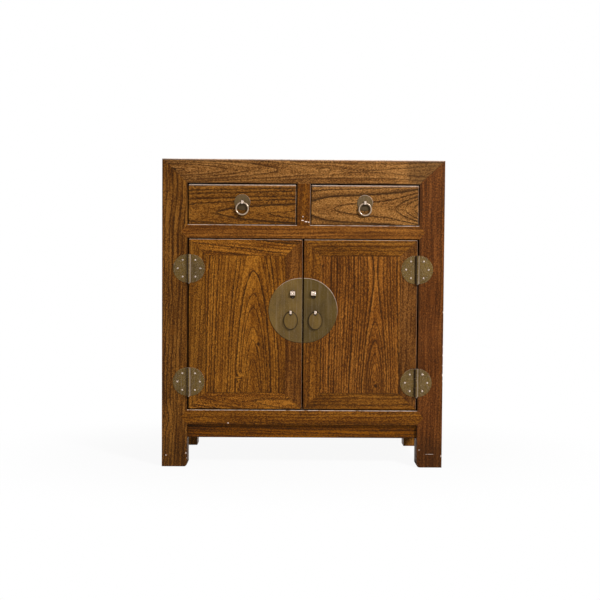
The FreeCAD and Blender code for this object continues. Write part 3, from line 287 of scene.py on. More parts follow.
class Tree:
    """Adds shader nodes to a tree, and joins or sets their inputs."""

    def __init__(self, tree):
        self.tree = tree

    def add(self, kind, inputs=None, **settings):
        """A node with some settings, and with inputs given by name or number."""
        node = self.tree.nodes.new(kind)
        for name, value in settings.items():
            setattr(node, name, value)
        for key, value in (inputs or {}).items():
            self.join(value, node.inputs[key])
        return node

    def join(self, value, socket):
        """Link a socket to an input, or set the input to a value."""
        if isinstance(value, bpy.types.NodeSocket):
            self.tree.links.new(value, socket)
        elif value is not None:
            if socket.type == "RGBA" and len(value) == 3:
                value = (*value, 1)
            socket.default_value = value

    def math(self, operation, *values):
        """A sum of numbers."""
        return self.add("ShaderNodeMath", dict(enumerate(values)), operation=operation).outputs[0]

    def centred(self, share):
        """A share moved from 0..1 to either side of zero."""
        return self.minus(share, 0.5)

    def vector(self, operation, *values):
        """A sum of vectors."""
        node = self.add("ShaderNodeVectorMath", dict(enumerate(values)), operation=operation)
        return node.outputs["Value" if operation in ("LENGTH", "DISTANCE") else "Vector"]

    def split(self, vector):
        """The three parts of a vector."""
        return self.add("ShaderNodeSeparateXYZ", {0: vector}).outputs

    def combine(self, x, y, z):
        """A vector of three parts."""
        return self.add("ShaderNodeCombineXYZ", {0: x, 1: y, 2: z}).outputs[0]

    def past_box(self, given):
        """How far a point lies past each pair of faces of a box."""
        away = self.vector("SUBTRACT", given["Vector"], given["Centre"])
        return self.vector("SUBTRACT", self.vector("ABSOLUTE", away), given["Half"])

    def blend(self, share, first, second):
        """Two colours mixed, with a share of the second."""
        inputs = {0: share, 6: first, 7: second}
        return self.add("ShaderNodeMix", inputs, data_type="RGBA").outputs[2]

    def ramp(self, value, low, high, to_low=0.0, to_high=1.0):
        """A smooth step from one value to another."""
        inputs = {"Value": value, "From Min": low, "From Max": high, "To Min": to_low,
                  "To Max": to_high}
        return self.add("ShaderNodeMapRange", inputs, interpolation_type="SMOOTHSTEP").outputs[0]

    def scaled(self, vector, x, y, z):
        """A vector with each part multiplied."""
        return self.vector("MULTIPLY", vector, (x, y, z))

    def spread(self, color):
        """Cloudy colour moved from 0..1 to -1..1."""
        return self.vector("MULTIPLY_ADD", color, (2.0, 2.0, 2.0), (-1.0, -1.0, -1.0))

    def fade(self, distance, reach):
        """1 at no distance, falling softly to 0 past a reach."""
        share = self.over(distance, reach)
        return self.math("EXPONENT", self.times(self.times(share, share), -1.0))

    def noise(self, vector, scale, seed, detail=2.0, rough=0.5):
        """Cloudy noise with its own scale across, into and along, as a number and as a colour."""
        inputs = {"Vector": self.scaled(vector, *scale), "W": seed, "Scale": 1.0,
                  "Detail": detail, "Roughness": rough}
        return self.add("ShaderNodeTexNoise", inputs, noise_dimensions="4D").outputs


# Short names of the sums that are used most
for short_name, operation in {
        "plus": "ADD", "minus": "SUBTRACT", "times": "MULTIPLY", "times_plus": "MULTIPLY_ADD",
        "over": "DIVIDE", "larger": "MAXIMUM", "smaller": "MINIMUM"}.items():
    setattr(Tree, short_name, functools.partialmethod(Tree.math, operation))


def new_material(name):
    """A material and its empty tree."""
    material = bpy.data.materials.new(name)
    material.use_nodes = True
    material.node_tree.nodes.clear()
    return material, Tree(material.node_tree)


def new_group(name, inputs, outputs):
    """A shader node group, with the labels of its sockets by kind, and its inputs and outputs."""
    tree = bpy.data.node_groups.new(name, "ShaderNodeTree")
    kinds = {"value": "NodeSocketFloat", "vector": "NodeSocketVector", "color": "NodeSocketColor"}
    for in_out, sockets in (("INPUT", inputs), ("OUTPUT", outputs)):
        for kind, labels in sockets.items():
            for label in labels.split(", "):
                tree.interface.new_socket(name=label, in_out=in_out, socket_type=kinds[kind])
    t = Tree(tree)
    return t, t.add("NodeGroupInput").outputs, t.add("NodeGroupOutput").inputs


def by_key(sockets):
    """Sockets by their labels in lower case."""
    return {socket.name.lower().replace(" ", "_"): socket for socket in sockets}


def use_group(t, name, **inputs):
    """Place a group in a tree. Inputs that it doesn't have are passed over."""
    node = t.add("ShaderNodeGroup", node_tree=bpy.data.node_groups[name])
    for key, socket in by_key(node.inputs).items():
        t.join(inputs.get(key), socket)
    return by_key(node.outputs)


def use_box_group(t, name, vector, low, high, **inputs):
    """Place a group that sets a point against a box, which two corners give."""
    return use_group(t, name, vector=vector, centre=tuple((low + high) / 2),
                     half=tuple((high - low) / 2), **inputs)


# Inputs of a group that sets a point against a box
BOX = {"vector": "Vector, Centre, Half"}


def group_ring_figure():
    """Growth rings of a board cut from a leaning, wandering trunk."""
    broad_scale = (7.0, 7.0, 3.2)
    small_scale = (40.0, 40.0, 13.0)
    small_share = 0.20
    inward_share = 0.4
    tip_rounding = 2 * MM
    pith_radius = 2.5 * MM
    least_radius = 5 * MM
    least_slope = 0.07
    jitter_scale = (210.0, 210.0, 95.0)
    jitter_reach = 8.0 * MM
    uneven_share = 0.7
    bold_rings = (0.3, 0.62)
    early_share = 0.42
    gap_scale = (420.0, 420.0, 55.0)
    shade_reach = 4.5 * MM
    t, given, out = new_group(
        "Ring figure", {"vector": "Vector, Pith, Lean",
                        "value": "Ring Width, Wander, Swell, Seed, Line Width, Even"},
        {"value": "Line, Shade, Tone", "vector": "Along"})
    vector = given["Vector"]
    seed = given["Seed"]
    wander = given["Wander"]
    across, depth, along = t.split(vector)
    pith_across, pith_depth, phase = t.split(given["Pith"])
    tilt, lean, bend = t.split(given["Lean"])

    # How far a point is from the pith
    broad = t.spread(t.noise(vector, broad_scale, seed, 1.0)[1])
    small = t.spread(t.noise(vector, small_scale, seed)[1])
    drift = t.vector("ADD", broad, t.scaled(small, small_share, small_share, small_share))
    drift_across, drift_depth, _ = t.split(drift)
    x = t.minus(across, t.times_plus(tilt, along, pith_across))
    x = t.times_plus(drift_across, wander, x)
    y = t.times_plus(t.times_plus(bend, along, lean), along, pith_depth)
    y = t.times_plus(drift_depth, t.times(wander, inward_share), t.minus(y, depth))
    point = t.plus(t.vector("LENGTH", t.combine(x, tip_rounding, 0.0)), pith_radius)
    radius = t.plus(t.vector("LENGTH", t.combine(point, y, 0.0)), given["Swell"])

    # How steeply the rings meet the face
    rise = t.times_plus(t.times(bend, 2.0), along, lean)
    steep = t.vector("LENGTH", t.combine(x, t.times(y, rise), 0.0))
    slope = t.larger(t.over(steep, t.larger(radius, least_radius)), least_slope)
    jitter = t.centred(t.noise(vector, jitter_scale, seed, rough=0.6)[0])
    reached = t.plus(radius, t.times(jitter, t.times(slope, jitter_reach)))

    # Rings grow apart near the pith, and each differs a little
    near = t.smaller(reached, RING_GROWTH)
    growth = t.plus(t.over(near, RING_GROWTH), 1.0)
    stretched = t.times(t.math("LOGARITHM", growth, math.e), RING_GROWTH)
    stretched = t.times_plus(t.minus(reached, near), 0.5, stretched)
    turns = t.plus(t.over(stretched, given["Ring Width"]), phase)
    uneven = t.add("ShaderNodeTexNoise",
                   {"W": t.times_plus(turns, 0.6, seed), "Scale": 1.0, "Detail": 0.0},
                   noise_dimensions="1D").outputs[0]
    turns = t.times_plus(t.centred(uneven), uneven_share, turns)
    share = t.math("FRACT", turns)
    number = t.plus(t.math("FLOOR", turns), seed)
    this_ring, next_ring = [
        t.add("ShaderNodeTexWhiteNoise", {"W": ring}, noise_dimensions="1D").outputs["Value"]
        for ring in (number, t.plus(number, 1.0))
    ]

    # The dark line at the end of one ring and the start of the next, equally wide on any face
    wide = t.over(t.times(given["Ring Width"], growth), slope)
    after = t.times(share, wide)
    before = t.times(t.minus(1.0, share), wide)
    line_width = given["Line Width"]
    late = t.times(t.fade(after, line_width), t.ramp(this_ring, *bold_rings, given["Even"], 1.0))
    early = t.times(t.fade(before, t.times(line_width, early_share)),
                    t.ramp(next_ring, *bold_rings, given["Even"], 1.0))
    gaps = t.noise(vector, gap_scale, seed, 1.0)[0]
    t.join(t.times(t.larger(late, early), t.ramp(gaps, 0.30, 0.50, 0.6, 1.0)), out["Line"])
    t.join(t.times(t.fade(after, shade_reach), this_ring), out["Shade"])
    t.join(t.times_plus(share, 0.4, t.times(this_ring, 0.6)), out["Tone"])
    t.join(t.combine(reached, t.times(across, 0.5), along), out["Along"])


def group_spot():
    """A round or long spot on a board, which can swell the rings or be painted."""
    ragged_scale = (500.0, 500.0, 500.0)
    ragged_share = 0.9
    t, given, out = new_group("Spot", {"vector": "Vector, Centre, Reach", "value": "Height"},
                              {"value": "Swell, Mask"})
    away = t.vector("SUBTRACT", given["Vector"], given["Centre"])
    away = t.vector("DIVIDE", away, given["Reach"])
    on_face = t.fade(t.vector("LENGTH", t.scaled(away, 1.0, 0.0, 1.0)), 1.0)
    t.join(t.times(on_face, given["Height"]), out["Swell"])
    painted = t.fade(t.vector("LENGTH", away), 1.0)
    ragged = t.centred(t.noise(given["Vector"], ragged_scale, 0.0)[0])
    t.join(t.ramp(t.times_plus(ragged, ragged_share, painted), 0.38, 0.62), out["Mask"])


def group_plug():
    """A small block let into a board, as a mask and as the line round it."""
    line_reach = 0.6 * MM
    t, given, out = new_group("Plug", BOX, {"value": "Block, Line"})
    x, _, z = t.split(t.past_box(given))
    outside = t.larger(x, z)
    t.join(t.math("LESS_THAN", outside, 0.0), out["Block"])
    t.join(t.fade(t.math("ABSOLUTE", outside), line_reach), out["Line"])


def group_fibres():
    """Streaks, pores, speckle and soft clouds of elm."""
    # Each follows the rings or the board, with its scale, detail, roughness and the span it shows
    noises = {
        "Wide": ("Along", (150.0, 150.0, 5.0), 2.0, 0.6, None),
        "Fine": ("Along", (420.0, 420.0, 13.0), 2.0, 0.6, None),
        "Pore": ("Along", (1250.0, 1250.0, 85.0), 2.0, 0.6, (0.50, 0.68)),
        "Cloud": ("Vector", (13.0, 13.0, 5.0), 3.0, 0.55, (0.30, 0.70)),
        "Speckle": ("Vector", (460.0, 460.0, 230.0), 2.0, 0.7, (0.38, 0.62)),
        "Fleck": ("Along", (420.0, 420.0, 210.0), 2.0, 0.65, (0.50, 0.66)),
    }
    wide_share = 0.65
    fine_share = 0.35
    t, given, out = new_group("Fibres", {"vector": "Along, Vector", "value": "Seed"},
                              {"value": "Streak, Pore, Cloud, Speckle, Fleck"})
    made = {}
    for label, (source, scale, detail, rough, span) in noises.items():
        made[label] = t.noise(given[source], scale, given["Seed"], detail, rough)[0]
        if span:
            t.join(t.ramp(made[label], *span), out[label])
    streak = t.plus(t.times(made["Wide"], wide_share), t.times(made["Fine"], fine_share))
    t.join(t.ramp(streak, 0.36, 0.64), out["Streak"])


def group_elm_color():
    """Colour of elm from its streaks, clouds, speckle and growth rings."""
    middle_light = 0.52
    mottle_share = 0.46
    shade_share = -0.32
    pore_share = 0.30
    fleck_share = 0.42
    t, given, out = new_group(
        "Elm color",
        {"value": "Streak, Cloud, Speckle, Fleck, Tone, Pore, Line, Shade, Contrast, Lines, Mottle",
         "color": "Pale, Middle, Deep, Ring Line"},
        {"color": "Color", "value": "Height"})
    light = 0.0
    for label, share in (("Streak", 0.56), ("Cloud", 0.32), ("Tone", 0.36)):
        light = t.times_plus(t.centred(given[label]), share, light)
    light = t.times(light, given["Contrast"])
    mottle = t.times(t.centred(given["Speckle"]), given["Mottle"])
    light = t.times_plus(mottle, mottle_share, light)
    light = t.times_plus(given["Shade"], shade_share, t.plus(light, middle_light))
    color = t.blend(t.smaller(t.times(light, 2.0), 1.0), given["Deep"], given["Middle"])
    bright = t.larger(t.times_plus(light, 2.0, -1.0), 0.0)
    color = t.blend(t.smaller(bright, 1.0), color, given["Pale"])
    fleck = t.times(t.times(given["Fleck"], given["Mottle"]), fleck_share)
    for share in (t.times(given["Pore"], pore_share), fleck, t.times(given["Line"], given["Lines"])):
        color = t.blend(share, color, given["Ring Line"])
    t.join(color, out["Color"])
    height = t.times_plus(given["Pore"], -0.35, t.times(given["Line"], -0.6))
    t.join(t.times_plus(given["Streak"], 0.25, height), out["Height"])


def group_box_edges():
    """How far a point of a piece is from the edges, sides and ends of a box."""
    t, given, out = new_group("Box edges", BOX, {"value": "Edge, Side, End, Below Top"})
    x, y, z = t.split(t.past_box(given))
    middle = t.larger(t.smaller(x, y), t.smaller(t.larger(x, y), z))
    for value, label in ((middle, "Edge"), (x, "Side"), (z, "End")):
        t.join(t.times(value, -1.0), out[label])
    placed = t.split(t.vector("SUBTRACT", given["Vector"], given["Centre"]))
    half = t.split(given["Half"])
    t.join(t.larger(t.minus(half[2], placed[2]), t.plus(half[1], placed[1])), out["Below Top"])


def group_frame_seams():
    """Dark lines of a mitred frame: round the panel and along the mitres."""
    t, given, out = new_group("Frame seams", {"value": "Side, End, Stile, Rail, Width"},
                              {"value": "Panel Seam, Mitre Seam"})
    past_stile = t.minus(given["Side"], given["Stile"])
    past_rail = t.minus(given["End"], given["Rail"])
    slope = t.minus(past_stile, t.times(past_rail, t.over(given["Stile"], given["Rail"])))
    seam, mitre = [
        t.minus(1.0, t.ramp(t.math("ABSOLUTE", away), 0.0, given["Width"]))
        for away in (t.smaller(past_stile, past_rail), slope)
    ]
    in_corner = t.math("LESS_THAN", t.larger(past_stile, past_rail), 0.0)
    t.join(seam, out["Panel Seam"])
    t.join(t.times(mitre, in_corner), out["Mitre Seam"])


def group_gap_shade():
    """Painted shade on the edges round a door or a drawer, strongest behind the front and none on
    backs.
    """
    begins = (-1.0 * MM, -3.0 * MM)
    thins = (-9.0 * MM, -18.0 * MM)
    t, given, out = new_group("Gap shade", {"vector": "Vector, Centre, Half, Normal"},
                              {"value": "Dirt"})
    x, y, z = t.split(t.past_box(given))
    outermost = t.larger(t.larger(x, y), z)
    reached = t.times(t.ramp(outermost, *begins), t.ramp(outermost, *thins, 1.0, 0.3))
    _, backward, _ = t.split(given["Normal"])
    t.join(t.times(reached, t.ramp(backward, 0.4, 0.8, 1.0, 0.0)), out["Dirt"])


def group_opening_edge():
    """Painted shade round an opening in the case, widest above it and at its right, none below it."""
    opening_shade_reach = 1.9 * MM
    just_inside = -0.1 * MM
    t, given, out = new_group("Opening edge", BOX, {"value": "Grime, Between"})
    placed = t.vector("SUBTRACT", given["Vector"], given["Centre"])
    right, _, above = t.split(t.vector("SUBTRACT", placed, given["Half"]))
    left, _, below = t.split(t.scaled(t.vector("ADD", placed, given["Half"]), -1.0, -1.0, -1.0))
    outside = t.larger(t.larger(right, t.times(left, 2.0)), above)
    grime = t.times(t.fade(outside, opening_shade_reach), t.math("GREATER_THAN", outside, just_inside))
    t.join(t.times(grime, t.math("LESS_THAN", below, 0.0)), out["Grime"])
    t.join(t.math("LESS_THAN", t.larger(right, left), 0.0), out["Between"])


def group_arris_wear_and_light():
    """Wear with a painted highlight on open edges that face up or right, and painted shade on those
    that face down or left.
    """
    patch_scale = (75.0, 75.0, 75.0)
    sideways_share = 0.30
    t, given, out = new_group(
        "Worn arris", {"vector": "Vector, Normal", "value": "Edge, Width, Seed"},
        {"value": "Wear, Grime"})
    patchy = t.noise(given["Vector"], patch_scale, given["Seed"], 3.0, 0.6)[0]
    width = t.times(given["Width"], t.ramp(patchy, 0.30, 0.62, 0.45, 1.25))
    near = t.minus(1.0, t.ramp(given["Edge"], t.times(width, 0.25), width))
    x, _, z = t.split(given["Normal"])
    facing = t.times_plus(x, sideways_share, z)
    t.join(t.times(near, t.ramp(facing, 0.05, 0.6)), out["Wear"])
    t.join(t.times(near, t.ramp(facing, -0.05, -0.5)), out["Grime"])


# Wood

class Board:
    """How one board was cut from its trunk. Lengths are in millimetres from the middle of its face.

    spots are (across, along, reach across, reach along, swell of the rings, paint), where the paint
    is a key of PAINT_SHARES or None. plugs are (across, along, half width, half length).
    """

    def __init__(self, grain="z", pith=(20, 40), lean=0.08, bend=0.0, tilt=0.0, ring=3.6, phase=0.0,
                 wander=7, line_width=1.9, even=0.1, tint=(1.0, 1.0, 1.0), contrast=1.0, mottle=1.0,
                 lines=0.85, wear=1.0, rim=0.0, spots=(), plugs=()):
        self.figure = {
            "pith": (pith[0] * MM, pith[1] * MM, phase), "lean": (tilt, lean, bend / METRE),
            "ring_width": ring * MM, "wander": wander * MM, "line_width": line_width * MM,
            "even": even, "contrast": contrast, "mottle": mottle, "lines": lines,
        }
        self.grain = grain
        self.tint = tint
        self.wear = wear
        self.rim = rim
        self.spots = spots
        self.plugs = plugs


# Which part of the object's coordinates runs across, into and along each board
BOARD_AXES = {
    "z": (0, 1, 2),
    "x": (2, 1, 0),
    "y": (2, 0, 1),
    "top": (1, 2, 0),
    "side": (1, 0, 2),
    "shelf": (1, 2, 0),
    "drawer_side": (2, 0, 1),
}
# How strongly each kind of spot covers the wood
PAINT_SHARES = {"knot": 0.9, "chip": 1.0, "blaze": 0.6, "soil": 0.3, "stain": 0.45}
# How strongly the dark seams darken the wood, and how dark the painted shade is on the edges round a
# door, round openings and on the lower edges
SEAM_SHARE = 0.75
GAP_SHADE_SHARE = 0.95
OPENING_SHARE = 0.9
ARRIS_SHADE_SHARE = 0.85
# How much of the varnish wear with its painted highlight takes, on the outside and on bare wood
WEAR_AND_SHEEN_SHARE = 0.9
BARE_WEAR_AND_SHEEN_SHARE = 0.2
# Roughness of varnished and bare wood, and what pores, clouds, the painted shade on lower edges, dust
# and the painted shade in gaps add to it
VARNISHED = 0.34
BARE = 0.62
ROUGHER_SHARES = {"pore": 0.16, "cloud": 0.10, "grime": 0.45, "dust": 0.28}
GAP_ROUGHER_SHARE = 0.6
# How shiny the varnish is, and its warm reflection
VARNISH_GLOSS = 0.2
VARNISH_TINT = (0.9, 0.62, 0.35)


def tinted(color, tint, share=1.0):
    """A colour of the settings, tinted for one board."""
    return tuple(part * change * share for part, change in zip(color, tint))


def elm_tones(board, bare):
    """The four colours that the figure of a board is painted with."""
    colors = wood()
    if bare:
        shades = {"pale": 1.3, "middle": 1.0, "deep": 0.6, "ring_line": 0.35}
        return {tone: tinted(colors.bare, board.tint, share) for tone, share in shades.items()}
    return {"pale": tinted(colors.pale, board.tint), "middle": tinted(colors.middle, board.tint),
            "deep": tinted(colors.deep, board.tint), "ring_line": tuple(colors.line)}


def place_spots(t, board, vector):
    """How far the spots of a board swell its rings, and the masks of those that are painted."""
    swell = 0.0
    painted = []
    for across, along, reach_across, reach_along, height, paint in board.spots:
        depth = CHIP_DEPTH if paint == "chip" else METRE
        spot = use_group(t, "Spot", vector=vector, centre=(across * MM, 0.0, along * MM),
                         reach=(reach_across * MM, depth, reach_along * MM), height=height * MM)
        if height:
            swell = t.plus(swell, spot["swell"])
        if paint:
            painted.append((paint, spot["mask"]))
    return swell, painted


def paint_spots(t, color, painted, board, vector, tones):
    """Paint spots and let-in blocks over the colour of a board."""
    block_share = 0.4
    block_shade_share = 1.2
    line_share = 0.5
    paints = {"chip": tuple(wood().worn), "blaze": tones["pale"]}
    for kind, mask in painted:
        paint = paints.get(kind, tones["ring_line"])
        color = t.blend(t.times(mask, PAINT_SHARES[kind]), color, paint)
    for across, along, half_across, half_along in board.plugs:
        plug = use_group(t, "Plug", vector=vector, centre=(across * MM, 0.0, along * MM),
                         half=(half_across * MM, METRE, half_along * MM))
        block = tinted(wood().middle, board.tint, block_shade_share)
        color = t.blend(t.times(plug["block"], block_share), color, block)
        color = t.blend(t.times(plug["line"], line_share), color, tones["ring_line"])
    return color


def elm_material(node, board, open_box, frame_widths, bare, in_front, openings):
    """Elm with its ring figure, fibres, seams, wear, painted highlights and painted shade, for one
    board.
    """
    seam_width = 0.9 * MM
    rim_reach = 2.6 * MM
    seed = random.Random(node).uniform(0.0, MOST_SEED)
    material, t = new_material(f"{node}_elm")
    coordinates = t.add("ShaderNodeTexCoord").outputs
    place = coordinates["Object"]
    normal = coordinates["Normal"]
    low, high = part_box(node)
    middle = (low + high) / 2
    centre = Vector((middle.x, low.y, middle.z))
    placed = t.add("ShaderNodeMapping", {"Vector": place, "Location": -centre}).outputs[0]
    parts = t.split(placed)
    vector = t.combine(*[parts[index] for index in BOARD_AXES[board.grain]])

    swell, painted = place_spots(t, board, vector)
    rings = use_group(t, "Ring figure", vector=vector, swell=swell, seed=seed, **board.figure)
    fibres = use_group(t, "Fibres", along=rings["along"], vector=vector, seed=seed)
    tones = elm_tones(board, bare)
    elm = use_group(t, "Elm color", **fibres, **rings, **board.figure, **tones)
    color = paint_spots(t, elm["color"], painted, board, vector, tones)

    # Seams, painted shade in the gaps, round openings and on lower edges, and wear with a painted
    # highlight
    dark = tones["ring_line"]
    worn = tuple(wood().worn)
    height = elm["height"]
    edges = use_box_group(t, "Box edges", place, *open_box)
    if frame_widths:
        stile, rail, has_panel = frame_widths
        seams = use_group(t, "Frame seams", stile=stile, rail=rail, width=seam_width, **edges)
        seam = seams["mitre_seam"]
        if has_panel:
            seam = t.larger(seam, seams["panel_seam"])
        color = t.blend(t.times(seam, SEAM_SHARE), color, dark)
        height = t.times_plus(seam, -1.0, height)
    if in_front:
        # Painted shade on the edges inside the gaps round the doors and drawers
        dirt = use_box_group(t, "Gap shade", place, CASE_LOW, CASE_HIGH, normal=normal)["dirt"]
        color = t.blend(t.times(dirt, GAP_SHADE_SHARE), color, dark)
    sill = None
    # Painted shade round each opening in the case, where its gaps fall dark
    for hole_low, hole_high in openings:
        edge = use_box_group(t, "Opening edge", place, hole_low, hole_high)
        color = t.blend(t.times(edge["grime"], OPENING_SHARE), color, dark)
        if abs(hole_low.z - high.z) < MM:
            sill = t.larger(sill or 0.0, edge["between"])
    # Wear with a painted highlight on open edges that face up or right, and painted shade on those
    # that face down or left
    arris = use_group(t, "Worn arris", vector=place, normal=normal, edge=edges["edge"],
                      width=wood().wear_and_light_width, seed=seed)
    color = t.blend(t.times(arris["grime"], ARRIS_SHADE_SHARE), color, dark)
    wear = t.times(arris["wear"], BARE_WEAR_AND_SHEEN_SHARE if bare else WEAR_AND_SHEEN_SHARE * board.wear)
    if sill:
        wear = t.times(wear, sill)
    color = t.blend(wear, color, worn)
    # A pale band along the top front edge: worn varnish and a painted highlight from above
    if board.rim:
        patchy = t.ramp(fibres["speckle"], 0.0, 0.6, 0.4, 1.0)
        rim = t.times(t.fade(edges["below_top"], rim_reach), patchy)
        color = t.blend(t.times(rim, board.rim), color, worn)

    dust = t.ramp(t.split(normal)[2], 0.7, 0.95)
    rough = BARE if bare else VARNISHED
    masks = {**fibres, **arris, "dust": dust}
    for kind, share in ROUGHER_SHARES.items():
        rough = t.times_plus(masks[kind], share, rough)
    if in_front:
        rough = t.smaller(t.times_plus(dirt, GAP_ROUGHER_SHARE, rough), 1.0)
    bump = t.add("ShaderNodeBump", {"Strength": 0.35, "Distance": 0.4 * MM, "Height": height})
    shader = t.add("ShaderNodeBsdfPrincipled", {
        "Base Color": color, "Roughness": rough, "Normal": bump.outputs[0],
        "Specular IOR Level": VARNISH_GLOSS, "Specular Tint": VARNISH_TINT,
    })
    t.add("ShaderNodeOutputMaterial", {"Surface": shader.outputs[0]})
    return material


def ease_board(node, open_box, broken_foot):
    """A copy of a board with its open edges rounded and its joint edges barely broken.

    A broken foot loses its lower corner towards the middle of the case.
    """
    piece = copy_of(node, f"{node}_eased")
    low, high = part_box(node)
    inner = high.x if abs(high.x) < abs(low.x) else low.x

    def is_corner(first, second):
        return all(abs(point.x - inner) < ON_PLANE and abs(point.z - low.z) < ON_PLANE
                   for point in (first, second))

    if broken_foot:
        bevel_edges(piece, is_corner, broken_foot, 4)

    def is_open(first, second):
        return planes_met(first, second, *open_box) > 1

    def at_joint(first, second):
        return planes_met(first, second, low, high) > 1 and not is_open(first, second)

    bevel_edges(piece, is_open, wood().open_edge, 3)
    bevel_edges(piece, at_joint, wood().joint_edge, 1)
    smooth(piece)
    return piece


def dress_board(node, board, open_nodes=None, frame_widths=None, slot="elm_frame", bare=False,
                in_front=False, openings=(), broken_foot=0.0):
    """Ease one board, give it its own elm and put it in its node's place."""
    open_box = box_of(open_nodes or [node])
    material = elm_material(node, board, open_box, frame_widths, bare, in_front, openings)
    finish(ease_board(node, open_box, broken_foot), material, node)


CASE = ["left_front_post", "right_front_post", "left_rear_post", "right_rear_post", "top_front_rail"]
CASE_LOW, CASE_HIGH = box_of(CASE)
# Width of stile and rail of a frame, and whether it holds a panel in the same face
CASE_FRAME = (72 * MM, 68 * MM, False)
DOOR_FRAME = (48 * MM, 46 * MM, True)
OPENING_X = 328 * MM
BROKEN_FOOT = 9 * MM
MOST_SEED = 40.0
DIVIDER_LOW, DIVIDER_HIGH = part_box("drawer_divider")
RAIL_LOW, RAIL_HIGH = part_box("middle_rail")
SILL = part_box("bottom_rail")[1].z
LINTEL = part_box("top_front_rail")[0].z


def opening(left, right, bottom, top):
    """An opening in the front of the case, as two corners."""
    return Vector((left, CASE_LOW.y, bottom)), Vector((right, CASE_HIGH.y, top))


OPENINGS = (
    opening(-OPENING_X, DIVIDER_LOW.x, RAIL_HIGH.z, LINTEL),
    opening(DIVIDER_HIGH.x, OPENING_X, RAIL_HIGH.z, LINTEL),
    opening(-OPENING_X, OPENING_X, SILL, RAIL_LOW.z),
)


class CABINET_OT_frame(bpy.types.Operator):
    """Posts and rails of the case"""
    bl_idname = "cabinet.frame"
    bl_label = "Case frame"

    def execute(self, context):
        # The dark patches at the foot of each front post make the posts darker towards the floor
        posts = {
            "left_front_post": Board(
                pith=(58, 45), lean=0.03, tilt=0.02, ring=4.6, wander=18, mottle=1.4,
                tint=(0.71, 0.66, 0.66), contrast=1.4, lines=0.65, plugs=((-4.5, -47, 9, 15),),
                spots=((-24, -405, 2.5, 2, 0, "chip"), (33, -399, 2, 3, 0, "chip"),
                       (36, -413, 1.5, 2, 0, "chip"), (-10, -300, 14, 30, 9, None),
                       (-16, 45, 9, 22, 7, None), (0, -452, 90, 110, 0, "soil"))),
            "right_front_post": Board(
                pith=(96, 30), lean=0.03, ring=4.6, wander=12, tint=(0.56, 0.41, 0.50),
                contrast=0.95, mottle=1.6, lines=0.35, wear=0.45,
                plugs=((3, 50, 8, 22), (5.5, -52, 7, 11)),
                spots=((-29, -387, 2.5, 1.5, 0, "chip"), (34, -404, 2, 3, 0, "chip"),
                       (0, -399, 16, 0.8, 0, "chip"), (0, -452, 90, 120, 0, "stain"),
                       *((35.4, along, 1.2, reach, 0, "chip") for along, reach in
                         ((8, 3), (-90, 2), (-115, 3), (-144, 2), (-172, 5), (-189, 2))))),
            "left_rear_post": Board(pith=(-40, 50), lean=0.03),
            "right_rear_post": Board(pith=(50, 50), lean=0.03),
        }
        in_front = {"in_front": True, "openings": OPENINGS}
        for node, board in posts.items():
            more = {**in_front, "broken_foot": BROKEN_FOOT} if "front" in node else {}
            dress_board(node, board, CASE, CASE_FRAME, **more)
        top = Board("x", pith=(4, 34), lean=0.043, bend=-0.12, ring=4.4, phase=0.35, wander=7,
                    line_width=2.4, tint=(1.04, 1.12, 1.95), contrast=0.9, mottle=1.6, lines=0.7,
                    rim=0.45, spots=((7, 62, 12, 34, -7, None), (2, -372, 9, 14, 3, "knot"),
                                     (4, 352, 60, 75, 0, "stain")))
        dress_board("top_front_rail", top, CASE, CASE_FRAME, **in_front)
        dress_board("top_rear_rail", Board("x", pith=(0, 60)), CASE)
        for side, _ in SIDES:
            dress_board(f"{side}_top_rail", Board("y", pith=(0, 50)), CASE)
        between = {
            "middle_rail": Board("x", pith=(60, 30), lean=0.02, ring=4.6, wander=11, mottle=1.2,
                                 tint=(0.90, 0.79, 0.78), lines=0.35),
            "bottom_rail": Board("x", pith=(60, 30), lean=0.02, ring=4.6, wander=11, mottle=1.6,
                                 tint=(0.89, 0.765, 0.40), lines=0.45,
                                 spots=((-16.6, -211, 2, 2.5, 0, "chip"),)),
            "drawer_divider": Board(
                pith=(40, 40), ring=4.8, tint=(0.74, 0.61, 0.37), mottle=1.4, lines=0.35,
                spots=((-1.7, -34.6, 1.8, 1.8, 0, "chip"), (-3, -45, 4, 1.4, 0, "chip"),
                       (7, -48.7, 5, 1.6, 0, "chip"), (15, -50, 2, 2, 0, "chip"))),
        }
        for node, board in between.items():
            dress_board(node, board, **in_front)
        dress_board("rear_rails", Board("x", pith=(100, 50)))
        dress_board("bottom_side_rails", Board("y", pith=(0, 60)))
        dress_board("front_apron", Board("x", pith=(60, 50), lean=0.05, tilt=-0.06, mottle=1.5,
                                         tint=(0.71, 0.53, 0.07), contrast=1.2, lines=0.8))
        dress_board("side_aprons", Board("y", pith=(0, 60)))
        return {"FINISHED"}


class CABINET_OT_case_panels(bpy.types.Operator):
    """Top, side and back panels"""
    bl_idname = "cabinet.case_panels"
    bl_label = "Case panels"

    def execute(self, context):
        dress_board("top_panel", Board("top", pith=(20, 40), lean=0.09), slot="elm_panel")
        dress_board("side_panels", Board("side", pith=(30, 40), lean=0.09), slot="elm_panel")
        back = Board("x", pith=(50, 60), lean=0.05)
        dress_board("back_panels", back, slot="inside_wood", bare=True)
        return {"FINISHED"}


class CABINET_OT_inside(bpy.types.Operator):
    """Floor board, shelf, bearers, runners and the brace under the top"""
    bl_idname = "cabinet.inside"
    bl_label = "Inside"

    def execute(self, context):
        grains = {"floor_board": "shelf", "shelf": "shelf", "shelf_bearers": "y",
                  "drawer_runners": "y", "top_panel_brace": "y"}
        for node, grain in grains.items():
            dress_board(node, Board(grain, pith=(30, 60)), slot="inside_wood", bare=True)
        return {"FINISHED"}


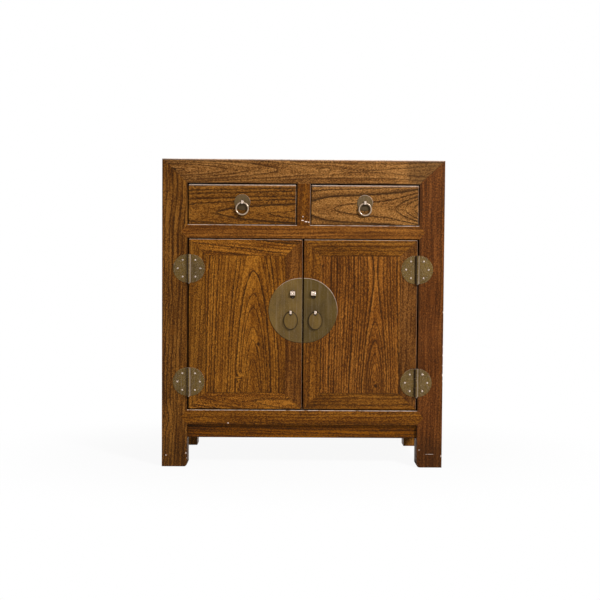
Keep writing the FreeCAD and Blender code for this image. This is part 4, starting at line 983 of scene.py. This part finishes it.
class CABINET_OT_drawers(bpy.types.Operator):
    """Fronts, sides, backs and bottoms of the drawers"""
    bl_idname = "cabinet.drawers"
    bl_label = "Drawers"

    def execute(self, context):
        # The dark patch round each ring is painted shade where the ring shades the drawer front
        fronts = {
            "left": Board(
                "x", pith=(-24, 36), lean=-0.058, ring=5.2, phase=0.1, wander=5, line_width=3.2,
                even=0.95, tint=(0.92, 0.875, 0.82), contrast=0.6, mottle=1.6, lines=1.0, rim=0.6,
                spots=((-14, 120, 8, 30, 5, None), (-14.5, -2, 23, 23, 0, "stain"))),
            "right": Board(
                "x", pith=(-10, 46), lean=-0.035, ring=6.0, wander=4, line_width=3.2, even=0.95,
                tint=(1.11, 1.21, 2.05), contrast=0.6, mottle=1.6, lines=1.0, rim=0.6,
                spots=((-8, 180, 50, 66, -30, None), (-12, -170, 52, 50, 8, None),
                       (-14.5, -2, 23, 23, 0, "stain"))),
        }
        for side, _ in SIDES:
            dress_board(f"{side}_drawer_front", fronts[side], in_front=True)
            for part, grain in (("sides", "drawer_side"), ("back", "x"), ("bottom", "shelf")):
                dress_board(f"{side}_drawer_{part}", Board(grain), slot="inside_wood", bare=True)
        return {"FINISHED"}


class CABINET_OT_doors(bpy.types.Operator):
    """Frames and panels of the doors"""
    bl_idname = "cabinet.doors"
    bl_label = "Doors"

    def execute(self, context):
        panels = {
            "left": Board(
                pith=(22, 34), lean=0.12, ring=3.8, phase=1.09, wander=7, line_width=1.9,
                even=0.45, lines=1.0, contrast=0.85, mottle=1.2, tint=(1.13, 1.03, 0.69),
                spots=((37, -56, 5, 6, 4, "knot"), (-15, -149, 12, 10, 8, None),
                       (-11, -146, 9, 3.5, 0, "blaze"), (-22, -152, 7, 3, 0, "blaze"),
                       (-15, -155, 8, 1.6, 0, "knot"), (-20, -165, 4, 5, 5, None),
                       (16, -178, 5, 6, 5, None))),
            "right": Board(
                pith=(41, 30), lean=0.10, bend=-0.35, ring=3.8, phase=0.5, wander=6,
                line_width=2.3, even=0.75, lines=1.0, contrast=0.95, mottle=1.2,
                tint=(1.12, 0.975, 0.90), spots=((45, -174, 6, 6, 5, "knot"),)),
        }
        rails = {
            "left": Board("x", pith=(-212, 26), lean=-0.06, tilt=-0.10, ring=4.2, wander=11,
                          line_width=2.8, even=0.3, tint=(1.25, 1.12, 0.80), contrast=1.2,
                          mottle=2.0, lines=1.0, spots=((-224, 120, 5, 18, 0, "blaze"),)),
            "right": Board("x", pith=(100, 50), lean=0.02, tilt=0.03, ring=4.6, wander=10,
                           mottle=1.4, tint=(0.78, 0.695, 0.48), lines=0.5),
        }
        stile_tints = {
            "left_door_hinge_stile": (0.93, 0.87, 0.64),
            "left_door_meeting_stile": (0.68, 0.58, 0.59),
            "right_door_hinge_stile": (0.67, 0.61, 0.82),
            "right_door_meeting_stile": (0.88, 0.77, 0.55),
        }
        stiles = {
            node: Board(pith=(50, 40), lean=0.03, tilt=0.01, ring=4.6, wander=10, lines=0.4,
                        mottle=1.5, tint=tint)
            for node, tint in stile_tints.items()
        }
        for board in (*rails.values(), *stiles.values()):
            board.wear = 0.6
        for side, _ in SIDES:
            door = [f"{side}_door_{part}" for part in ("hinge_stile", "meeting_stile", "crosspieces")]
            for node, board in zip(door, (stiles[door[0]], stiles[door[1]], rails[side])):
                dress_board(node, board, door, DOOR_FRAME, in_front=True)
            dress_board(f"{side}_door_panel", panels[side], door, DOOR_FRAME, slot="elm_panel")
        return {"FINISHED"}


# Metal

def group_patina():
    """Tarnish, rubbed places, scratches, painted highlights and painted shade of old brass."""
    # The scale, detail and roughness of each noise
    noises = {
        "cloud": ((24.0, 24.0, 16.0), 3.0, 0.6),
        "spots": ((330.0, 330.0, 330.0), 3.0, 0.7),
        "brushed": ((260.0, 260.0, 11.0), 2.0, 0.5),
        "dents": ((95.0, 95.0, 95.0), 1.0, 0.5),
        "flecks": ((420.0, 420.0, 420.0), 2.0, 0.6),
    }
    sideways_share = 0.5
    shade_width = 0.22
    shade_share = 0.92
    flat_rim = 0.2
    plain_roughness = 0.38
    t, given, out = new_group(
        "Patina", {"vector": "Vector, Normal", "color": "Brass, Tarnish, Rubbed",
                   "value": "Polish, Pitting, Rim, Shade From, Mark, Seed"},
        {"color": "Color", "value": "Roughness, Height"})
    cloud, spots, brushed, dents, flecks = [
        t.noise(given["Vector"], scale, given["Seed"], detail, rough)[0]
        for scale, detail, rough in noises.values()
    ]
    right, front, up = t.split(given["Normal"])
    lit = t.times_plus(right, sideways_share, up)
    tarnish = given["Tarnish"]
    rubbed = given["Rubbed"]
    polish_and_sheen_given = given["Polish"]

    # Stains, pits, brush marks and flecks of bright metal, and the painted shadows of the marks
    color = t.blend(t.ramp(cloud, 0.35, 0.70, 0.0, 0.42), given["Brass"], tarnish)
    color = t.blend(t.ramp(spots, 0.50, 0.66, 0.0, given["Pitting"]), color, tarnish)
    color = t.blend(t.ramp(brushed, 0.45, 0.75, 0.0, 0.045), color, rubbed)
    color = t.blend(t.times(t.ramp(flecks, 0.54, 0.70, 0.0, 0.30), given["Pitting"]), color, rubbed)
    color = t.blend(given["Mark"], color, tarnish)

    # Painted highlights: edges that face the light are bright, and, as far as the piece is polished
    # where hands reach, so is what looks to the front or up on its lit side
    chamfer = t.times(t.ramp(lit, 0.1, 0.5), t.ramp(front, -0.95, -0.8))
    color = t.blend(t.times(chamfer, given["Rim"]), color, rubbed)
    turned = t.ramp(lit, given["Shade From"], t.minus(given["Shade From"], shade_width))
    reached = t.larger(t.ramp(front, -0.35, -0.85), t.ramp(up, 0.3, 0.8))
    polish = t.times(polish_and_sheen_given, t.times(reached, t.minus(1.0, turned)))
    color = t.blend(polish, color, rubbed)

    # Painted shade: what faces down, back or, on a piece without a bright rim, sideways is dark
    inner = t.times(t.ramp(front, -0.6, -0.2), polish_and_sheen_given)
    outline = t.times(t.ramp(front, -0.97, -0.85), t.minus(1.0, given["Rim"]))
    outline = t.times(outline, t.math("GREATER_THAN", flat_rim, given["Rim"]))
    hidden = t.larger(t.larger(turned, inner), outline)
    t.join(t.blend(t.times(hidden, shade_share), color, tarnish), out["Color"])
    rough = t.times_plus(t.ramp(spots, 0.4, 0.7), 0.18, plain_roughness)
    t.join(t.times_plus(polish, -0.20, rough), out["Roughness"])
    t.join(t.times_plus(spots, 0.25, dents), out["Height"])


def group_painted_shadow():
    """A painted shadow: a dark oval, filled or only its outline, under a ring or round a pull."""
    outline_reach = 1.1 * MM
    outer_fade = 1.0 * MM
    inner_fade = -2.0 * MM
    t, given, out = new_group(
        "Painted shadow", {"vector": "Vector, Centre, Half", "value": "Filled"}, {"value": "Mask"})
    offset = t.scaled(t.vector("SUBTRACT", given["Vector"], given["Centre"]), 1.0, 0.0, 1.0)
    share = t.vector("LENGTH", t.vector("DIVIDE", offset, given["Half"]))
    past = t.times(t.minus(share, 1.0), t.split(given["Half"])[0])
    outline = t.times(t.fade(past, outline_reach), t.minus(1.0, given["Filled"]))
    inside = t.times(t.ramp(past, outer_fade, inner_fade), given["Filled"])
    t.join(t.larger(outline, inside), out["Mask"])


def outline_mark(node, grow, strength):
    """A painted shadow: a dark line along the outline of a node, some way outside or inside it."""
    low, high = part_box(node)
    half = (high - low) / 2
    return tuple((low + high) / 2), (half.x + grow, METRE, half.z + grow), 0.0, strength


def filled_mark(node, drop, half_width, half_height, strength):
    """A painted shadow: a dark oval some way below the middle of a node."""
    low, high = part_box(node)
    centre = (low + high) / 2 - Vector((0.0, 0.0, drop))
    return tuple(centre), (half_width, METRE, half_height), 1.0, strength


def brass_material(node, seed, polish=0.0, metallic=0.75, tint=(0.9, 0.9, 0.9), rubbed=None,
                   pitting=0.85, rim=0.75, shade_from=-0.1, marks=()):
    """Old brass for a node. Polish says how much of it is rubbed bright and how strongly its lit
    faces take a painted highlight, and a tint changes it.

    Pitting is the strength of its dark spots, and rim that of the painted highlight on its lit
    edges. Faces that look further down than shade_from take painted shade. Marks are painted
    shadows, given as (centre, half sizes, filled, strength).
    """
    material, t = new_material(f"{node}_brass")
    coordinates = t.add("ShaderNodeTexCoord").outputs
    place = coordinates["Object"]
    mark = 0.0
    for centre, half, filled, strength in marks:
        oval = use_group(t, "Painted shadow", vector=place, centre=centre, half=half, filled=filled)
        mark = t.larger(mark, t.times(oval["mask"], strength))
    colors = metal()
    surface = use_group(t, "Patina", vector=place, normal=coordinates["Normal"],
                        brass=tinted(colors.brass, tint), tarnish=tuple(colors.tarnish),
                        rubbed=tuple(rubbed or colors.rubbed), polish=polish, pitting=pitting,
                        rim=rim, shade_from=shade_from, mark=mark, seed=seed)
    bump = t.add("ShaderNodeBump", {"Strength": 0.4, "Distance": 0.3 * MM,
                                    "Height": surface["height"]})
    shader = t.add("ShaderNodeBsdfPrincipled", {
        "Base Color": surface["color"], "Roughness": surface["roughness"], "Metallic": metallic,
        "Normal": bump.outputs[0],
    })
    t.add("ShaderNodeOutputMaterial", {"Surface": shader.outputs[0]})
    return material


def dress_metal(node, seed, width=None, segments=2, **looks):
    """Put a copy of a metal piece with rounded edges and its own brass in its node's place."""
    piece = copy_of(node, f"{node}_worn")
    only(piece)
    bpy.ops.object.modifier_add(type="BEVEL")
    bevel = piece.modifiers[-1]
    bevel.width = width or metal().edge
    bevel.segments = segments
    bevel.limit_method = "ANGLE"
    bevel.angle_limit = METAL_ANGLE
    bpy.ops.object.modifier_apply(modifier=bevel.name)
    smooth(piece)
    finish(piece, brass_material(node, seed, **looks), node)


class CABINET_OT_plates(bpy.types.Operator):
    """Round plates of the drawers and the split round plate of the doors"""
    bl_idname = "cabinet.plates"
    bl_label = "Plates"

    def execute(self, context):
        # The right half of the door plate is tinted darker: painted shade for the dimmer reflection
        # on that half
        tints = {"left": (0.98, 0.99, 1.1), "right": (0.59, 0.60, 0.47), "drawer": (0.80, 0.86, 1.6)}
        for side, sign in SIDES:
            ring_low, ring_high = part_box(f"{side}_drawer_ring")
            ring_half = (ring_high - ring_low) / 2
            # Painted shadows: a dark line round the oval pull and a dark oval below the staple on the
            # door plate, and a dark oval where the ring shades the drawer plate
            marks = {
                f"{side}_door_lock_plate": (
                    outline_mark(f"{side}_door_pull", 0.3 * MM, 0.9),
                    filled_mark(f"{side}_door_staple", 9.5 * MM, 6.2 * MM, 4.5 * MM, 0.95)),
                f"{side}_drawer_pull_plate": (
                    filled_mark(f"{side}_drawer_ring", 0.0, ring_half.x, ring_half.z, 0.65),),
            }
            for node, on_plate in marks.items():
                dress_metal(node, 3.0 + sign, metal().plate_edge, 1, pitting=0.25, marks=on_plate,
                            tint=tints["drawer" if "drawer" in node else side])
        return {"FINISHED"}


class CABINET_OT_rings(bpy.types.Operator):
    """Rings of the drawers, forged from round wire"""
    bl_idname = "cabinet.rings"
    bl_label = "Drawer rings"

    def execute(self, context):
        for side, sign in SIDES:
            node = f"{side}_drawer_ring"
            low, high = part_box(node)
            wire = (high.y - low.y) / 2
            bpy.ops.object.select_all(action="DESELECT")
            bpy.ops.mesh.primitive_torus_add(
                location=(low + high) / 2, rotation=(math.pi / 2, 0, 0), major_segments=96,
                minor_segments=24, major_radius=(high.x - low.x) / 2 - wire, minor_radius=wire)
            piece = bpy.context.active_object
            piece.name = f"{node}_forged"
            bpy.ops.object.transform_apply(location=True, rotation=True, scale=True)
            bpy.ops.object.shade_smooth()
            material = brass_material(node, 9.0 + sign, polish=0.9, metallic=0.35, pitting=0.5,
                                      rubbed=metal().bronze, rim=0.5, shade_from=-0.8)
            finish(piece, material, node)
        return {"FINISHED"}


class CABINET_OT_pins(bpy.types.Operator):
    """Split pins that carry the rings and the oval pulls"""
    bl_idname = "cabinet.pins"
    bl_label = "Split pins"

    def execute(self, context):
        for side, sign in SIDES:
            for kind in ("drawer", "door"):
                dress_metal(f"{side}_{kind}_pull_pin", 14.0 + sign, polish=0.95, metallic=0.9,
                            pitting=0.3, shade_from=-0.7)
        return {"FINISHED"}


class CABINET_OT_pulls(bpy.types.Operator):
    """Oval pulls of the doors"""
    bl_idname = "cabinet.pulls"
    bl_label = "Oval pulls"

    def execute(self, context):
        for side, sign in SIDES:
            node = f"{side}_door_pull"
            # Painted shadows on each pull: a dark line just inside its outline and a dark oval below
            # its pin
            marks = (outline_mark(node, -0.4 * MM, 0.8),
                     filled_mark(f"{side}_door_pull_pin", 6.5 * MM, 3.2 * MM, 4 * MM, 0.95))
            dress_metal(node, 19.0 + sign, pitting=0.25, rim=0.0, marks=marks)
        return {"FINISHED"}


class CABINET_OT_staples(bpy.types.Operator):
    """Staples for the lock bar"""
    bl_idname = "cabinet.staples"
    bl_label = "Staples"

    def execute(self, context):
        for side, sign in SIDES:
            dress_metal(f"{side}_door_staple", 24.0 + sign, polish=0.85, metallic=0.9, pitting=0.3,
                        shade_from=-0.3)
        return {"FINISHED"}


HINGED = ("case", "left_door", "right_door")


class CABINET_OT_hinges(bpy.types.Operator):
    """Leaves and pins of the hinges"""
    bl_idname = "cabinet.hinges"
    bl_label = "Hinges"

    def execute(self, context):
        for number, part in enumerate(HINGED):
            dress_metal(f"{part}_hinge_leaves", 30.0 + number, 3 * metal().edge, 1,
                        tint=(0.86, 0.87, 0.8), rim=0.55, shade_from=0.02)
        dress_metal("hinge_pins", 34.0, polish=0.3)
        return {"FINISHED"}


class CABINET_OT_nails(bpy.types.Operator):
    """Domed nails of the hinges"""
    bl_idname = "cabinet.nails"
    bl_label = "Hinge nails"

    def execute(self, context):
        for number, part in enumerate(HINGED):
            dress_metal(f"{part}_hinge_nails", 40.0 + number, 2 * metal().edge, polish=0.85,
                        metallic=0.9, shade_from=0.03)
        return {"FINISHED"}


# Stage

WHITE = (1.0, 1.0, 1.0)
FLOOR_RADIUS = 30.0
FLOOR_CORNERS = 64
LIT_POINT = (0.0, 0.0, 0.45)
KEY_PLACE = (1.7, -2.6, 2.3)
KEY_WIDTH = 0.5
FILL_PLACE = (-2.4, -2.2, 1.2)
FILL_WIDTH = 1.4
SENSOR_WIDTH = 36.0
PICTURE_WIDTH = 600.0


def seen_directly(t):
    """1 for rays of the camera and of shiny or clear surfaces."""
    path = t.add("ShaderNodeLightPath").outputs
    return t.larger(path["Is Camera Ray"],
                    t.larger(path["Is Glossy Ray"], path["Is Transmission Ray"]))


def floor_material():
    """Pale floor that takes the shadow near the feet and is otherwise white."""
    floor_color = (0.8, 0.8, 0.8)
    shadow_reach = (0.28, 0.85)
    least_white = 0.93
    material, t = new_material("studio_floor")
    place = t.add("ShaderNodeTexCoord").outputs["Object"]
    away = t.vector("LENGTH", t.scaled(place, 0.75, 1.0, 1.0))
    share = t.ramp(away, *shadow_reach, least_white, 1.0)
    matt = t.add("ShaderNodeBsdfDiffuse", {"Color": floor_color}).outputs[0]
    white = t.add("ShaderNodeEmission", {"Color": WHITE, "Strength": 1.0}).outputs[0]
    mixed = t.add("ShaderNodeMixShader", {0: t.times(share, seen_directly(t)), 1: matt, 2: white})
    t.add("ShaderNodeOutputMaterial", {"Surface": mixed.outputs[0]})
    return material


def make_world():
    """Even light from all round. Seen directly it is white, but metal sees a dim room in front."""
    dimming = -0.72
    world = bpy.data.worlds.new("studio")
    world.use_nodes = True
    world.node_tree.nodes.clear()
    t = Tree(world.node_tree)
    _, backward, upward = t.split(t.add("ShaderNodeTexCoord").outputs["Generated"])
    white_side = t.larger(t.ramp(backward, -0.3, 0.2), t.ramp(upward, 0.15, 0.6))
    glossy = t.add("ShaderNodeLightPath").outputs["Is Glossy Ray"]
    strength = t.times_plus(t.times(glossy, t.minus(1.0, white_side)), dimming, 1.0)
    light, white = [
        t.add("ShaderNodeBackground", {"Color": WHITE, "Strength": value}).outputs[0]
        for value in (stage().sky, strength)
    ]
    mixed = t.add("ShaderNodeMixShader", {0: seen_directly(t), 1: light, 2: white}).outputs[0]
    t.add("ShaderNodeOutputWorld", {"Surface": mixed})
    bpy.context.scene.world = world


def area_lamp(name, place, width, power):
    """A square lamp that faces the cabinet."""
    bpy.ops.object.light_add(type="AREA", location=place)
    lamp = bpy.context.active_object
    lamp.name = name
    lamp.data.energy = power
    lamp.data.size = width
    lamp.rotation_euler = (Vector(LIT_POINT) - Vector(place)).to_track_quat("-Z", "Y").to_euler()


class CABINET_OT_stage(bpy.types.Operator):
    """Floor, lamps, world and camera"""
    bl_idname = "cabinet.stage"
    bl_label = "Stage"

    def execute(self, context):
        settings = stage()
        bpy.ops.object.select_all(action="DESELECT")
        bpy.ops.mesh.primitive_circle_add(radius=FLOOR_RADIUS, vertices=FLOOR_CORNERS,
                                          fill_type="NGON", location=(0, 0, 0))
        floor = bpy.context.active_object
        floor.name = "studio_floor"
        floor.data.materials.append(floor_material())
        make_world()
        area_lamp("key_lamp", KEY_PLACE, KEY_WIDTH, settings.key)
        area_lamp("fill_lamp", FILL_PLACE, FILL_WIDTH, settings.fill)

        camera = bpy.data.cameras.new("camera")
        camera.sensor_width = SENSOR_WIDTH
        camera.lens = SENSOR_WIDTH * settings.focal_pixels / PICTURE_WIDTH
        view = bpy.data.objects.new("camera", camera)
        context.scene.collection.objects.link(view)
        turn = (Matrix.Rotation(-settings.camera_yaw, 4, "Z")
                @ Matrix.Rotation(math.pi / 2 - settings.camera_pitch, 4, "X")
                @ Matrix.Rotation(settings.camera_roll, 4, "Z"))
        view.matrix_world = Matrix.Translation(Vector(settings.camera_place)) @ turn
        context.scene.camera = view
        context.scene.view_settings.view_transform = "Standard"
        return {"FINISHED"}


OPERATORS = (
    CABINET_OT_frame, CABINET_OT_case_panels, CABINET_OT_inside, CABINET_OT_drawers, CABINET_OT_doors,
    CABINET_OT_plates, CABINET_OT_rings, CABINET_OT_pins, CABINET_OT_pulls, CABINET_OT_staples,
    CABINET_OT_hinges, CABINET_OT_nails, CABINET_OT_stage,
)


class CABINET_PT_pieces(bpy.types.Panel):
    """Lists the pieces of the cabinet"""
    bl_idname = "CABINET_PT_pieces"
    bl_label = "Elm Cabinet"
    bl_space_type = "VIEW_3D"
    bl_region_type = "UI"
    bl_category = "Cabinet"

    def draw(self, context):
        for operator in OPERATORS:
            self.layout.operator(operator.bl_idname)
        for name in SETTINGS:
            settings = getattr(context.scene, name)
            for key in settings.bl_rna.properties.keys():
                if key not in ("rna_type", "name"):
                    self.layout.prop(settings, key)


SETTINGS = {"cabinet_wood": WoodSettings, "cabinet_metal": MetalSettings,
            "cabinet_stage": StageSettings}
CLASSES = (*SETTINGS.values(), *OPERATORS, CABINET_PT_pieces)


def register():
    for each in CLASSES:
        bpy.utils.register_class(each)
    for name, group in SETTINGS.items():
        setattr(bpy.types.Scene, name, bpy.props.PointerProperty(type=group))


def unregister():
    for name in SETTINGS:
        delattr(bpy.types.Scene, name)
    for each in reversed(CLASSES):
        bpy.utils.unregister_class(each)


def main():
    """Make every piece and the stage."""
    register()
    for build in (group_ring_figure, group_spot, group_plug, group_fibres, group_elm_color,
                  group_box_edges, group_frame_seams, group_gap_shade, group_opening_edge,
                  group_arris_wear_and_light, group_patina, group_painted_shadow):
        build()
    for operator in OPERATORS:
        family, name = operator.bl_idname.split(".")
        getattr(getattr(bpy.ops, family), name)()


if __name__ == "__main__":
    main()
